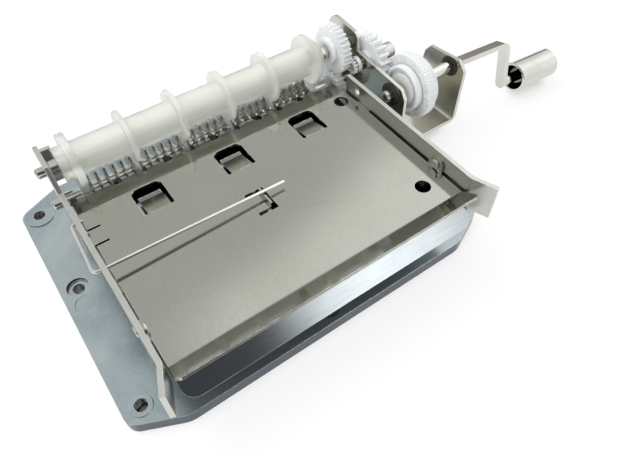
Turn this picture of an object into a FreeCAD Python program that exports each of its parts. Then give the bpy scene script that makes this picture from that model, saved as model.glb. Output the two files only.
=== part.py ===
import FreeCAD, Part
import Sketcher
import math
import os

# A hand-cranked paper strip music box for thirty notes, two millimetres apart.
# +X runs along the roller to the crank, +Y from the strip's mouth to the roller, +Z up.
# The origin is the middle of the base's underside.

Vector = FreeCAD.Vector
xAxis = Vector(1, 0, 0)

drivingSizes = {
    # the paper strip and its notes
    "paperWidth": 70.0, "paperPlay": 0.1, "noteCount": 30, "notePitch": 2.0,
    # base casting
    "baseWidth": 91.1, "baseDepth": 71.4, "baseThick": 3.4, "baseCutX": 10.4, "baseCutY": 4.7,
    "baseCorner": 3.0, "baseBlend": 6.0, "baseHoleRadius": 1.35, "baseHoleX": 41.7, "baseHoleY": 28.7,
    "middleHoleY": 4.0, "frontHoleY": -32.2, "bossRise": 0.3, "frontBossRadius": 2.3, "rearBossRadius": 3.4,
    "sinkRadius": 2.4, "sinkDepth": 0.8, "ejectorRadius": 2.4, "ejectorDepth": 0.15, "ejectorY": -1.2,
    # comb and the raised block that carries it
    "combWidth": 62.0, "combFrontY": -16.2, "combBodyDepth": 10.5, "combBodyThick": 2.9, "toothThick": 0.9,
    "toothGap": 0.5, "combDrop": 4.5, "combTipGap": 0.25, "combSlant": 8.0, "blockMargin": 0.8,
    "combScrewX": 24.0, "combScrewRadius": 1.25, "combHeadRadius": 2.2,
    "combHeadHeight": 1.2, "combScrewDepth": 5.0,
    # paper channel
    "plateTop": 18.5, "coverThick": 0.5, "channelGap": 1.8, "floorThick": 0.8, "plateHalf": 34.6,
    "coverFrontY": -32.7, "flatDepth": 41.3, "lipRun": 4.6, "lipRise": 3.0, "slopeRun": 4.9,
    "slopeDrop": 0.75, "tailRun": 1.4, "tailDrop": 0.6, "lipCorner": 1.2, "coverBend": 0.7, "floorBend": 0.6,
    "floorFrontY": -34.1, "floorLipRun": 3.5, "floorLipDrop": 3.3, "floorRearY": 14.5, "floorCorner": 3.0,
    "tabFrontY": -12.7, "tabRearY": 5.3,
    "tabLength": 4.0, "slotPlay": 0.1, "coverTabY": -0.7, "slitWidth": 0.5, "slitReach": 2.8,
    "dimpleX": 33.4, "dimpleY": -26.3, "dimpleRadius": 0.55, "dimpleDepth": 0.2,
    # windows, their tongues, the centre hook and the driver holes
    "windowPitch": 20.0, "windowWidth": 7.0, "windowFrontY": 0.5, "windowDepth": 7.8, "windowCorner": 1.5,
    "tongueWidth": 5.2, "tongueRun": 5.0, "tongueDrop": 1.15, "tongueCurl": 0.9, "tongueThick": 0.3,
    "tongueTip": 0.15, "tongueBend": 0.4,
    "hookLeftX": -4.0, "hookRightX": 0.5, "hookFrontY": -13.5, "hookDepth": 6.8, "hookGap": 0.9,
    "hookRise": 1.1, "driverRadius": 1.8, "driverX1": 28.8, "driverY1": -26.8, "driverX2": 31.5,
    "driverY2": 6.0, "notchWidth": 2.0, "notchPitch": 6.0, "notchStartY": 12.4,
    "earFrontY": -26.3, "earLength": 4.2, "earRise": 3.0, "earLift": 1.35, "rivetRadius": 0.7,
    "rivetHead": 1.15, "rivetDome": 0.4,
    # side plates
    "sideThick": 1.0, "sideRise": 4.5, "sideDrop": 4.5, "flareRun": 5.5, "flareSpread": 2.2, "flareBend": 2.0,
    "rightSideEndY": 8.8, "legFrontY": -24.7, "legLength": 6.0, "rightLegY": 1.6, "footReach": 6.0,
    "footThick": 1.0, "uprightFrontY": 11.6, "uprightRearY": 23.8, "uprightRise": 9.4, "uprightSlant": 3.2,
    "uprightCorner": 2.4, "flangeReach": 2.3, "flangeDrop": 3.0, "flangeRise": 6.3,
    "footScrewRadius": 1.0, "footHeadRadius": 1.8, "footHeadHeight": 0.9, "screwPlay": 0.1, "tipGap": 0.4,
    # roller shafts
    "rollerY": 19.1, "upperRise": 5.05, "lowerDrop": 4.95, "shaftRadius": 1.7, "journalRadius": 1.15,
    "runningPlay": 0.05, "journalEnd": 1.9, "shaftShoulder": 0.2, "journalTip": 0.35, "journalStub": 0.4,
    # roller, drive discs and star wheels
    "tubeRadius": 3.83, "tubeHalf": 33.2, "tubeWall": 1.1, "tubeHub": 4.0, "discRadius": 6.05,
    "discThick": 1.1, "discRound": 0.25, "discPitch": 12.0, "endDiscInner": 29.5, "endDiscThick": 1.7,
    "nipGap": 0.2, "lowerDiscThick": 1.0, "lowerDiscRound": 0.15,
    "starRadius": 4.6, "starRoot": 3.3, "starThick": 0.5, "starTeeth": 8, "starTipWidth": 0.5,
    "starHubRadius": 2.3, "starHubWidth": 0.8, "mouldHoleRadius": 0.55,
    # gears
    "fineModule": 0.4, "stepModule": 0.3, "coarseModule": 0.6, "backlash": 0.08, "upperTeeth": 30,
    "lowerTeeth": 20, "stepTeeth": 31, "pinionTeeth": 12, "idlerTeeth": 20, "crankTeeth": 22,
    "crankDiscTeeth": 26, "fineGearX": 37.4, "fineGearWidth": 2.5, "gearHubLength": 1.2, "gearHubStep": 0.4,
    "stepWidth": 1.0, "pinionGap": 0.1, "pinionBossRadius": 2.1, "pinionBossLength": 1.1,
    "idlerAngle": 204.5, "crankAngle": 189.6, "idlerGearX": 45.0, "idlerGearWidth": 2.8,
    "idlerShaftRadius": 1.2, "idlerHubRadius": 2.6, "hubPlay": 0.2, "collarRadius": 2.1,
    "collarLength": 5.4, "collarRound": 0.3, "idlerStub": 0.4,
    "crankGearX": 46.4, "crankGearWidth": 1.8, "crankDiscWidth": 2.2, "crankBossRadius": 6.9,
    "crankBossLength": 2.0, "crankHubRadius": 4.0, "crankRimRadius": 5.2, "bossRimRadius": 5.9,
    "gearRecess": 1.0,
    # crank bracket
    "bracketX": 42.9, "bracketThick": 1.0, "bracketGap": 19.1, "bracketBend": 1.2, "bracketFrontY": -4.2,
    "bracketRearY": 12.3, "bracketFoldRise": 4.0, "wallStart": 3.0, "armRearRise": 5.0,
    "armFrontRise": 3.7, "armTopFrontY": -2.6, "armNoseDrop": 2.2, "towerFrontY": 14.8,
    "towerRearY": 26.7, "towerRise": 10.3, "towerTaper": 1.8, "towerSlope": 0.8, "towerRearRound": 3.2,
    "towerFrontRound": 1.8, "bracketFootY": 13.5, "bracketFootLength": 11.0, "bracketFootReach": 5.6,
    "earTopRise": 3.3, "earTaper": 2.2, "earShoulderY": 3.8, "earShoulderRise": 2.1, "earNoseY": 2.4,
    "earNoseDrop": 2.3, "bushFlange": 3.0, "bushFlangeThick": 0.25, "bushRadius": 2.3, "bushLip": 0.4,
    # crank and knob
    "crankRadius": 1.5, "crankInnerX": 40.8, "crankDome": 0.8, "kinkX": 65.5, "strapWidth": 3.0,
    "strapThick": 1.3, "elbowX": 84.0, "crankDroop": 3.5, "crankLean": 14.5, "crankThrow": 11.6,
    "strapBend": 1.4, "pinRadius": 1.1, "pinCollar": 0.35, "knobRadius": 4.15, "knobWall": 0.6,
    "knobGap": 4.2, "knobLength": 15.4, "knobHubRadius": 2.2, "knobHubLength": 6.0, "knobRound": 0.8,
    "knobPlay": 0.3, "pinHeadRadius": 1.8, "pinHeadLength": 0.6, "pinHeadGap": 0.1,
    # tension wire
    "wireRadius": 0.38, "wireY": -9.3, "wireHoleY": 4.4, "wireRise": 2.7, "wireTipRise": 1.5,
    "wireHoleRise": 2.3, "wireTipX": 4.6, "wireBow": 1.5, "wireBend": 1.0, "wireHookBend": 0.6,
    "wireHookReach": 0.6, "wireStandOff": 0.65, "wireSlotHeight": 1.4, "wireSlotWidth": 1.0,
    "wireHoleRadius": 0.85,
}

doc = FreeCAD.newDocument("musicBox")
sheet = doc.addObject("Spreadsheet::Sheet", "Sizes")
for row, (alias, number) in enumerate(drivingSizes.items(), start=1):
    sheet.set("A%d" % row, alias)
    sheet.set("B%d" % row, str(number))
    sheet.setAlias("B%d" % row, alias)
doc.recompute()


class Measure:
    """A number from the sheet together with the expression that gives it."""

    def __init__(self, value, text):
        self.value = value
        self.text = text

    def __float__(self):
        return float(self.value)

    def join(self, other, sign, value, swapped=False):
        text = other.text if isinstance(other, Measure) else repr(other)
        pair = (text, self.text) if swapped else (self.text, text)
        return Measure(value, "(%s %s %s)" % (pair[0], sign, pair[1]))

    def __add__(self, other):
        return self.join(other, "+", self.value + float(other))

    def __radd__(self, other):
        return self.join(other, "+", float(other) + self.value, True)

    def __sub__(self, other):
        return self.join(other, "-", self.value - float(other))

    def __rsub__(self, other):
        return self.join(other, "-", float(other) - self.value, True)

    def __mul__(self, other):
        return self.join(other, "*", self.value * float(other))

    def __rmul__(self, other):
        return self.join(other, "*", float(other) * self.value, True)

    def __truediv__(self, other):
        return self.join(other, "/", self.value / float(other))

    def __neg__(self):
        return Measure(-self.value, "(0 - %s)" % self.text)


class Sizes:
    """Every size of the sheet by its alias."""

    def __getattr__(self, alias):
        return Measure(float(sheet.get(alias)), "Sizes." + alias)

    def count(self, alias):
        return int(sheet.get(alias))


size = Sizes()
pieces = []


def bind(item, prop, measure):
    item.setExpression(prop, measure.text if isinstance(measure, Measure) else repr(measure))


def makeBody(label, at=None):
    body = doc.addObject("PartDesign::Body", label)
    body.Label = label
    if at is not None:
        for axis, measure in zip("xyz", at):
            bind(body, "Placement.Base." + axis, measure)
    pieces.append(body)
    return body


def originPlane(body, role):
    return [item for item in body.Origin.OriginFeatures if item.Role == role][0]


def makeSketch(body, role, geometry, lift=0.0):
    """A sketch on one of the body's own planes, lifted along that plane's normal."""
    sketch = body.newObject("Sketcher::SketchObject", body.Label + "Sketch")
    sketch.AttachmentSupport = [(originPlane(body, role), "")]
    sketch.MapMode = "FlatFace"
    bind(sketch, "AttachmentOffset.Base.z", lift)
    sketch.addGeometry(geometry, False)
    return sketch


def flat(point):
    return Vector(float(point[0]), float(point[1]), 0)


def constrainPoint(sketch, item, position, point):
    for kind, measure in (("DistanceX", point[0]), ("DistanceY", point[1])):
        index = sketch.addConstraint(Sketcher.Constraint(kind, -1, 1, item, position, float(measure)))
        bind(sketch, "Constraints[%d]" % index, measure)


def polygonSketch(body, role, outlines, lift=0.0):
    """Closed straight-sided outlines whose corners are all bound to the sheet."""
    sketch = makeSketch(body, role, [], lift)
    for corners in outlines:
        first = sketch.GeometryCount
        total = len(corners)
        for index in range(total):
            following = corners[(index + 1) % total]
            sketch.addGeometry(Part.LineSegment(flat(corners[index]), flat(following)), False)
        for index in range(total):
            joint = (first + index, 2, first + (index + 1) % total, 1)
            sketch.addConstraint(Sketcher.Constraint("Coincident", *joint))
            constrainPoint(sketch, first + index, 1, corners[index])
    return sketch


def circleSketch(body, role, circles, lift=0.0):
    """Circles given as (across, up, radius), each bound to the sheet."""
    sketch = makeSketch(body, role, [], lift)
    for across, up, radius in circles:
        item = sketch.addGeometry(Part.Circle(flat((across, up)), Vector(0, 0, 1), float(radius)), False)
        constrainPoint(sketch, item, 3, (across, up))
        index = sketch.addConstraint(Sketcher.Constraint("Radius", item, float(radius)))
        bind(sketch, "Constraints[%d]" % index, radius)
    return sketch


def rectangle(left, low, right, high):
    return [(left, low), (right, low), (right, high), (left, high)]


def pad(body, sketch, length):
    feature = body.newObject("PartDesign::Pad", body.Label + "Pad")
    feature.Profile = sketch
    bind(feature, "Length", length)
    doc.recompute()
    return feature


def pocket(body, sketch, depth):
    """Cuts from the sketch against its normal, and stops if nothing was cut."""
    before = body.Tip.Shape.Volume
    feature = body.newObject("PartDesign::Pocket", body.Label + "Pocket")
    feature.Profile = sketch
    bind(feature, "Length", depth)
    doc.recompute()
    if feature.Shape.isNull() or feature.Shape.Volume > before - 1e-6:
        raise RuntimeError("a pocket in %s cuts nothing" % body.Label)
    return feature


def revolve(body, corners):
    """Turns an outline in the XY plane about the body's own X axis."""
    sketch = polygonSketch(body, "XY_Plane", [corners])
    feature = body.newObject("PartDesign::Revolution", body.Label + "Turn")
    feature.Profile = sketch
    feature.ReferenceAxis = (sketch, ["H_Axis"])
    feature.Angle = 360.0
    doc.recompute()
    return feature


def roundEdges(body, radius, chosen, feature="PartDesign::Fillet"):
    """Rounds or chamfers the edges that the test picks by their middle point and direction."""
    base = body.Tip
    names = []
    for index, edge in enumerate(base.Shape.Edges, start=1):
        middle = edge.valueAt((edge.FirstParameter + edge.LastParameter) / 2)
        along = edge.tangentAt(edge.FirstParameter)
        if chosen(middle, along, edge):
            names.append("Edge%d" % index)
    if not names:
        raise RuntimeError("no edge found to round in %s" % body.Label)
    blend = body.newObject(feature, body.Label + "Round")
    blend.Base = (base, names)
    bind(blend, "Radius" if feature.endswith("Fillet") else "Size", radius)
    doc.recompute()
    return blend


def near(number, measure, slack=0.02):
    return abs(number - float(measure)) < slack


def foldedOutline(path, thick, bend):
    """The edges of a strip of sheet metal that follows a path with rounded bends."""
    points = [flat(point) for point in path]
    half = float(thick) / 2
    stations = []
    for index in range(1, len(points) - 1):
        arriving = (points[index] - points[index - 1]).normalize()
        leaving = (points[index + 1] - points[index]).normalize()
        turn = math.atan2(arriving.x * leaving.y - arriving.y * leaving.x, arriving.dot(leaving))
        radius = float(bend) + half
        setback = radius * abs(math.tan(turn / 2))
        side = Vector(-arriving.y, arriving.x, 0) * math.copysign(radius, turn)
        start = points[index] - arriving * setback
        stations.append((start, points[index] + leaving * setback, start + side, turn, arriving, leaving))
    edges = []
    rims = []
    for sign in (1, -1):
        cursor = points[0] + normalOf(points[1] - points[0]) * half * sign
        rim = [cursor]
        for start, finish, centre, turn, arriving, leaving in stations:
            before = start + normalOf(arriving) * half * sign
            after = finish + normalOf(leaving) * half * sign
            edges.append(Part.LineSegment(cursor, before))
            edges.append(arcBetween(before, after, centre))
            cursor = after
        last = points[-1] + normalOf(points[-1] - points[-2]) * half * sign
        edges.append(Part.LineSegment(cursor, last))
        rim.append(last)
        rims.append(rim)
    edges.append(Part.LineSegment(rims[0][0], rims[1][0]))
    edges.append(Part.LineSegment(rims[0][1], rims[1][1]))
    return edges


def normalOf(direction):
    unit = Vector(direction).normalize()
    return Vector(-unit.y, unit.x, 0)


def arcBetween(start, finish, centre):
    radius = (start - centre).Length
    middle = centre + ((start - centre) + (finish - centre)).normalize() * radius
    return Part.Arc(start, middle, finish)


def gearOutline(teeth, module, backlash, phase, bore=None):
    """Involute teeth as arcs through root, pitch and tip, one tooth centred on the phase angle."""
    pressure = math.radians(20)
    pitchRadius = teeth * module / 2
    baseRadius = pitchRadius * math.cos(pressure)
    tipRadius = pitchRadius + 0.9 * module
    rootRadius = pitchRadius - 1.2 * module
    halfTooth = (math.pi * module / 2 - backlash) / 2 / pitchRadius

    def flankAngle(radius):
        rolled = math.acos(min(1.0, baseRadius / radius))
        pitchInvolute = math.tan(pressure) - pressure
        return halfTooth + pitchInvolute - (math.tan(rolled) - rolled)

    def polar(radius, angle):
        return Vector(radius * math.cos(angle), radius * math.sin(angle), 0)

    edges = []
    for index in range(teeth):
        centre = math.radians(phase) + 2 * math.pi * index / teeth
        following = centre + 2 * math.pi / teeth
        flanks = []
        for side in (-1, 1):
            flanks.append([polar(radius, centre + side * flankAngle(radius))
                           for radius in (rootRadius, (rootRadius + tipRadius) / 2, tipRadius)])
        rising, falling = flanks
        nextRoot = polar(rootRadius, following - flankAngle(rootRadius))
        edges.append(Part.Arc(rising[0], rising[1], rising[2]))
        edges.append(Part.Arc(rising[2], polar(tipRadius, centre), falling[2]))
        edges.append(Part.Arc(falling[2], falling[1], falling[0]))
        edges.append(Part.Arc(falling[0], polar(rootRadius, (centre + following) / 2), nextRoot))
    if bore is not None:
        edges.append(Part.Circle(Vector(0, 0, 0), Vector(0, 0, 1), float(bore)))
    return edges


# Heights and places that follow from the driving sizes
sideInner = size.paperWidth / 2 + size.paperPlay
sideOuter = sideInner + size.sideThick
coverUnder = size.plateTop - size.coverThick
floorTop = coverUnder - size.channelGap
floorUnder = floorTop - size.floorThick
upperZ = size.plateTop + size.upperRise
lowerZ = size.plateTop - size.lowerDrop
guideTop = size.plateTop + size.sideRise
guideFoot = size.plateTop - size.sideDrop
combTop = size.plateTop - size.combDrop
combUnder = combTop - size.combBodyThick
lowerDiscRadius = size.upperRise + size.lowerDrop - size.discRadius - size.nipGap
windowRearY = size.windowFrontY + size.windowDepth
bracketOuter = size.bracketX + size.bracketThick
earX = bracketOuter + size.bracketGap
noteCount = size.count("noteCount")


def turned(start, distance, degrees):
    """A point at a distance from another, at an angle from +Y towards +Z."""
    angle = math.radians(degrees)
    return (float(start[0]) + distance * math.cos(angle), float(start[1]) + distance * math.sin(angle))


fineStep = float(size.stepModule) * (size.count("stepTeeth") + size.count("pinionTeeth")) / 2
coarseStep = float(size.coarseModule) * (size.count("idlerTeeth") + size.count("crankTeeth")) / 2
idlerY, idlerZ = turned((size.rollerY, upperZ), fineStep, float(size.idlerAngle))
crankY, crankZ = turned((idlerY, idlerZ), coarseStep, float(size.crankAngle))


def meshPhase(phase, teeth, matingTeeth, direction):
    """The phase that puts a mating gear's teeth in a gear's spaces, the mate lying at a direction."""
    offset = teeth * (phase - direction) / 360.0
    return direction + 180.0 + 360.0 / matingTeeth * (-offset - 0.5)


lowerGearPhase = meshPhase(0.0, size.count("upperTeeth"), size.count("lowerTeeth"), -90.0)
pinionPhase = meshPhase(0.0, size.count("stepTeeth"), size.count("pinionTeeth"), float(size.idlerAngle))
idlerPhase = 0.0
crankPhase = meshPhase(idlerPhase, size.count("idlerTeeth"), size.count("crankTeeth"),
                       float(size.crankAngle))


def buildBase():
    body = makeBody("base_casting")
    halfX = size.baseWidth / 2
    halfY = size.baseDepth / 2
    cutX = halfX - size.baseCutX
    cutY = halfY - size.baseCutY
    corners = [(-cutX, -halfY), (cutX, -halfY), (halfX, -cutY), (halfX, cutY),
               (cutX, halfY), (-cutX, halfY), (-halfX, cutY), (-halfX, -cutY)]
    pad(body, polygonSketch(body, "XY_Plane", [corners]), size.baseThick)
    roundEdges(body, size.baseCorner, lambda middle, along, edge:
               abs(along.z) > 0.9 and near(abs(middle.x), halfX))
    roundEdges(body, size.baseBlend, lambda middle, along, edge:
               abs(along.z) > 0.9 and near(abs(middle.x), cutX) and edge.Curve.TypeId == "Part::GeomLine")
    bosses = []
    for side in (-1, 1):
        bosses.append((size.baseHoleX * side, -size.baseHoleY, size.frontBossRadius))
        bosses.append((size.baseHoleX * side, size.baseHoleY, size.rearBossRadius))
    pad(body, circleSketch(body, "XY_Plane", bosses), size.baseThick + size.bossRise)
    blockX = size.combWidth / 2
    blockFront = size.combFrontY - size.blockMargin
    blockRear = size.combFrontY + size.combBodyDepth + size.blockMargin
    block = rectangle(-blockX, blockFront, blockX, blockRear)
    pad(body, polygonSketch(body, "XY_Plane", [block]), combUnder)
    roundEdges(body, size.baseCorner / 2, lambda middle, along, edge:
               abs(along.z) > 0.9 and near(abs(middle.x), blockX) and middle.z > float(size.baseThick))
    through = size.baseThick + size.bossRise
    drilled = [(size.baseHoleX * side, size.baseHoleY * end, size.baseHoleRadius)
               for side in (-1, 1) for end in (-1, 1)]
    drilled.append((-size.baseHoleX, size.middleHoleY, size.baseHoleRadius))
    drilled.append((0.0, size.frontHoleY, size.baseHoleRadius))
    pocket(body, circleSketch(body, "XY_Plane", drilled, through), through)
    sinks = [(-size.baseHoleX, size.middleHoleY, size.sinkRadius),
             (0.0, size.frontHoleY, size.sinkRadius)]
    pocket(body, circleSketch(body, "XY_Plane", sinks, size.baseThick), size.sinkDepth)
    ejector = [(-size.baseHoleX, size.ejectorY, size.ejectorRadius)]
    pocket(body, circleSketch(body, "XY_Plane", ejector, size.baseThick), size.ejectorDepth)
    combScrews = [(size.combScrewX * side, combScrewY, size.combScrewRadius) for side in (-1, 0, 1)]
    pocket(body, circleSketch(body, "XY_Plane", combScrews, combUnder), size.combScrewDepth)
    tapped = [(across, along, size.footScrewRadius) for across, along in footScrewPlaces]
    pocket(body, circleSketch(body, "XY_Plane", tapped, size.baseThick), size.baseThick)


combScrewY = size.combFrontY + size.combBodyDepth / 2
legMiddleY = size.legFrontY + size.legLength / 2
rearFootMiddleY = (size.uprightFrontY + size.uprightRearY) / 2
rightLegMiddleY = size.rightLegY + size.legLength / 2
footMiddleX = sideInner - size.footReach / 2
bracketFootX = size.bracketX - size.bracketFootReach / 2
bracketFootFront = size.bracketFootY + size.bracketFootLength / 4
bracketFootRear = size.bracketFootY + size.bracketFootLength * 3 / 4
sideScrewPlaces = [(-footMiddleX, legMiddleY), (-footMiddleX, rearFootMiddleY),
                   (footMiddleX, legMiddleY), (footMiddleX, rightLegMiddleY)]
bracketScrewPlaces = [(bracketFootX, bracketFootFront), (bracketFootX, bracketFootRear)]
footScrewPlaces = sideScrewPlaces + bracketScrewPlaces


def buildComb():
    body = makeBody("comb")
    halfX = size.combWidth / 2
    rootY = size.combFrontY + size.combBodyDepth
    tipY = size.rollerY - size.starRadius - size.combTipGap
    plate = rectangle(-halfX, size.combFrontY, halfX, rootY)
    pad(body, polygonSketch(body, "XY_Plane", [plate], combUnder), size.combBodyThick)
    toothHalf = size.notePitch * noteCount / 2 - size.toothGap / 2
    blade = rectangle(-toothHalf, rootY, toothHalf, tipY)
    pad(body, polygonSketch(body, "XY_Plane", [blade], combTop - size.toothThick), size.toothThick)
    slots = []
    for index in range(noteCount - 1):
        middle = size.notePitch * (index + 1 - noteCount / 2)
        start = rootY + size.combSlant * (index / (noteCount - 2))
        slots.append(rectangle(middle - size.toothGap / 2, start, middle + size.toothGap / 2, tipY + 1.0))
    pocket(body, polygonSketch(body, "XY_Plane", slots, combTop), size.toothThick)
    bore = size.combScrewRadius + size.screwPlay
    holes = [(size.combScrewX * side, combScrewY, bore) for side in (-1, 0, 1)]
    pocket(body, circleSketch(body, "XY_Plane", holes, combTop), size.combBodyThick)


def addPiece(label, shape):
    piece = doc.addObject("Part::Feature", label)
    piece.Label = label
    piece.Shape = shape
    pieces.append(piece)


def addGroup(label, solids):
    """Identical small pieces kept in one node as separate solids."""
    addPiece(label, Part.makeCompound(solids))


def buildScrews(label, places, seatZ, gripLength, radius, headRadius, headHeight):
    """Pan-head screws with a slot across each head."""
    screws = []
    slotWidth = float(headRadius) * 0.3
    slotDepth = float(headHeight) * 0.45
    for across, along in places:
        foot = Vector(float(across), float(along), float(seatZ) - float(gripLength))
        shank = Part.makeCylinder(float(radius), float(gripLength), foot)
        seat = Vector(float(across), float(along), float(seatZ))
        head = Part.makeCylinder(float(headRadius), float(headHeight), seat)
        rim = [edge for edge in head.Edges if near(edge.BoundBox.ZMin, seatZ + headHeight)
               and near(edge.BoundBox.ZMax, seatZ + headHeight)]
        head = head.makeFillet(float(headHeight) * 0.4, rim)
        corner = seat + Vector(-float(headRadius), -slotWidth / 2, float(headHeight) - slotDepth)
        slot = Part.makeBox(2 * float(headRadius), slotWidth, slotDepth, corner)
        screws.append(shank.fuse(head.cut(slot)).removeSplitter())
    addGroup(label, screws)


def buildFloor():
    body = makeBody("floor_plate")
    bottom = size.floorFrontY
    path = [(bottom - size.floorLipRun, floorTop - size.floorThick / 2 - size.floorLipDrop),
            (bottom, floorTop - size.floorThick / 2), (size.floorRearY, floorTop - size.floorThick / 2)]
    sketch = makeSketch(body, "YZ_Plane", foldedOutline(path, size.floorThick, size.floorBend), -size.plateHalf)
    pad(body, sketch, size.plateHalf * 2)
    roundEdges(body, size.floorCorner, lambda middle, along, edge:
               abs(along.x) < 0.1 and near(abs(middle.x), size.plateHalf)
               and middle.y < float(bottom - size.floorLipRun) + 0.5 and edge.Length < 1.0)
    tabs = []
    for side in (-1, 1):
        for front in (size.tabFrontY, size.tabRearY):
            inner = size.plateHalf * side
            outer = sideOuter * side
            low, high = (outer, inner) if side < 0 else (inner, outer)
            tabs.append(rectangle(low, front, high, front + size.tabLength))
    pad(body, polygonSketch(body, "XY_Plane", tabs, floorUnder), size.floorThick)


def notePlace(index):
    return size.notePitch * (index - (noteCount - 1) / 2)


def driveDiscPlaces():
    """The four discs between the two end discs of the roller."""
    return [size.discPitch * step for step in (-1.5, -0.5, 0.5, 1.5)]


def buildCover():
    body = makeBody("cover_plate")
    half = size.coverThick / 2
    level = size.plateTop - half
    front = size.coverFrontY
    rear = front + size.flatDepth
    path = [(front - size.lipRun, level + size.lipRise), (front, level), (rear, level),
            (rear + size.slopeRun, level - size.slopeDrop),
            (rear + size.slopeRun + size.tailRun, level - size.slopeDrop - size.tailDrop)]
    sketch = makeSketch(body, "YZ_Plane", foldedOutline(path, size.coverThick, size.coverBend), -size.plateHalf)
    pad(body, sketch, size.plateHalf * 2)
    roundEdges(body, size.lipCorner, lambda middle, along, edge:
               near(abs(middle.x), size.plateHalf) and abs(along.x) < 0.1 and edge.Length < 0.8
               and middle.y < float(front - size.lipRun) + 0.3)
    windows = []
    for step in (-1, 0, 1):
        middle = size.windowPitch * step
        windows.append(rectangle(middle - size.windowWidth / 2, size.windowFrontY,
                                 middle + size.windowWidth / 2, windowRearY))
    pocket(body, polygonSketch(body, "XY_Plane", windows, size.plateTop), size.coverThick)
    roundEdges(body, size.windowCorner, lambda middle, along, edge:
               abs(along.z) > 0.9 and near(middle.y, windowRearY) and edge.Length < 0.8)
    hook = rectangle(size.hookLeftX, size.hookFrontY, size.hookRightX, size.hookFrontY + size.hookDepth)
    pocket(body, polygonSketch(body, "XY_Plane", [hook], size.plateTop), size.coverThick)
    driver = [(size.driverX1, size.driverY1, size.driverRadius),
              (size.driverX2, size.driverY2, size.driverRadius)]
    pocket(body, circleSketch(body, "XY_Plane", driver, size.plateTop), size.coverThick)
    dimple = [(size.dimpleX, size.dimpleY, size.dimpleRadius)]
    pocket(body, circleSketch(body, "XY_Plane", dimple, size.plateTop), size.dimpleDepth)
    slits = [rectangle(-size.plateHalf - 1.0, low, size.slitReach - size.plateHalf, low + size.slitWidth)
             for low in (size.coverTabY - size.slitWidth, size.coverTabY + size.tabLength)]
    pocket(body, polygonSketch(body, "XY_Plane", slits, size.plateTop), size.coverThick)
    notches = []
    notchRear = rear + size.slopeRun + size.tailRun + 0.5
    for step in range(-4, 5):
        middle = size.notchPitch * step
        notches.append(rectangle(middle - size.notchWidth / 2, size.notchStartY,
                                 middle + size.notchWidth / 2, notchRear))
    pocket(body, polygonSketch(body, "XY_Plane", notches, size.plateTop), size.coverThick * 6)
    roundEdges(body, size.notchWidth * 0.45, lambda middle, along, edge:
               abs(along.z) > 0.9 and near(middle.y, size.notchStartY) and edge.Length < 0.8)
    tongueFold = foldedOutline(
        [(size.windowFrontY, size.plateTop - size.tongueThick / 2),
         (size.windowFrontY + size.tongueRun, size.plateTop - size.tongueThick / 2 - size.tongueDrop),
         (size.windowFrontY + size.tongueRun + size.tongueCurl,
          size.plateTop - size.tongueDrop + size.tongueTip)],
        size.tongueThick, size.tongueBend)
    for step in (-1, 0, 1):
        left = size.windowPitch * step - size.tongueWidth / 2
        pad(body, makeSketch(body, "YZ_Plane", tongueFold, left), size.tongueWidth)
    gap = size.hookGap
    tongue = rectangle(size.hookLeftX, size.hookFrontY + gap, size.hookRightX - gap,
                       size.hookFrontY + size.hookDepth - gap)
    pad(body, polygonSketch(body, "XY_Plane", [tongue], coverUnder), size.coverThick)
    edge = rectangle(size.hookRightX - gap - size.coverThick, size.hookFrontY + gap, size.hookRightX - gap,
                     size.hookFrontY + size.hookDepth - gap)
    pad(body, polygonSketch(body, "XY_Plane", [edge], coverUnder), size.coverThick + size.hookRise)
    tabs = []
    for side in (-1, 1):
        low, high = (-sideOuter, -size.plateHalf) if side < 0 else (size.plateHalf, sideOuter)
        tabs.append(rectangle(low, size.coverTabY, high, size.coverTabY + size.tabLength))
    pad(body, polygonSketch(body, "XY_Plane", tabs, coverUnder), size.coverThick)
    for side in (-1, 1):
        earStart = -sideInner if side < 0 else sideInner - size.coverThick
        ear = rectangle(size.earFrontY, coverUnder, size.earFrontY + size.earLength,
                        size.plateTop + size.earRise)
        pad(body, polygonSketch(body, "YZ_Plane", [ear], earStart), size.coverThick)
    roundEdges(body, size.earLength * 0.42, lambda middle, along, edge:
               abs(along.x) > 0.9 and near(middle.z, size.plateTop + size.earRise)
               and float(size.earFrontY) - 0.1 < middle.y < float(size.earFrontY + size.earLength) + 0.1)
    rivetHole = [(rivetY, rivetZ, size.rivetRadius)]
    pocket(body, circleSketch(body, "YZ_Plane", rivetHole, sideInner), sideInner * 2)


rivetY = size.earFrontY + size.earLength / 2
rivetZ = size.plateTop + size.earLift


def buildRivets():
    """Two domed rivets, one through each ear of the cover plate and its side plate."""
    rivets = []
    inner = float(sideInner - size.coverThick)
    outer = float(sideOuter)
    shank = Part.makeCylinder(float(size.rivetRadius), outer - inner, Vector(inner, 0, 0), xAxis)
    for face, direction in ((inner, -1), (outer, 1)):
        disc = Part.makeCylinder(float(size.rivetHead), float(size.rivetDome), Vector(face, 0, 0),
                                 xAxis * direction)
        top = face + direction * float(size.rivetDome)
        rim = [edge for edge in disc.Edges if near(edge.BoundBox.XMin, top) and near(edge.BoundBox.XMax, top)]
        shank = shank.fuse(disc.makeFillet(float(size.rivetDome) * 0.8, rim))
    shank = shank.removeSplitter()
    for side in (-1, 1):
        copy = shank.copy() if side > 0 else shank.mirror(Vector(0, 0, 0), xAxis)
        copy.translate(Vector(0, float(rivetY), float(rivetZ)))
        rivets.append(copy)
    addGroup("ear_rivets", rivets)


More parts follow.
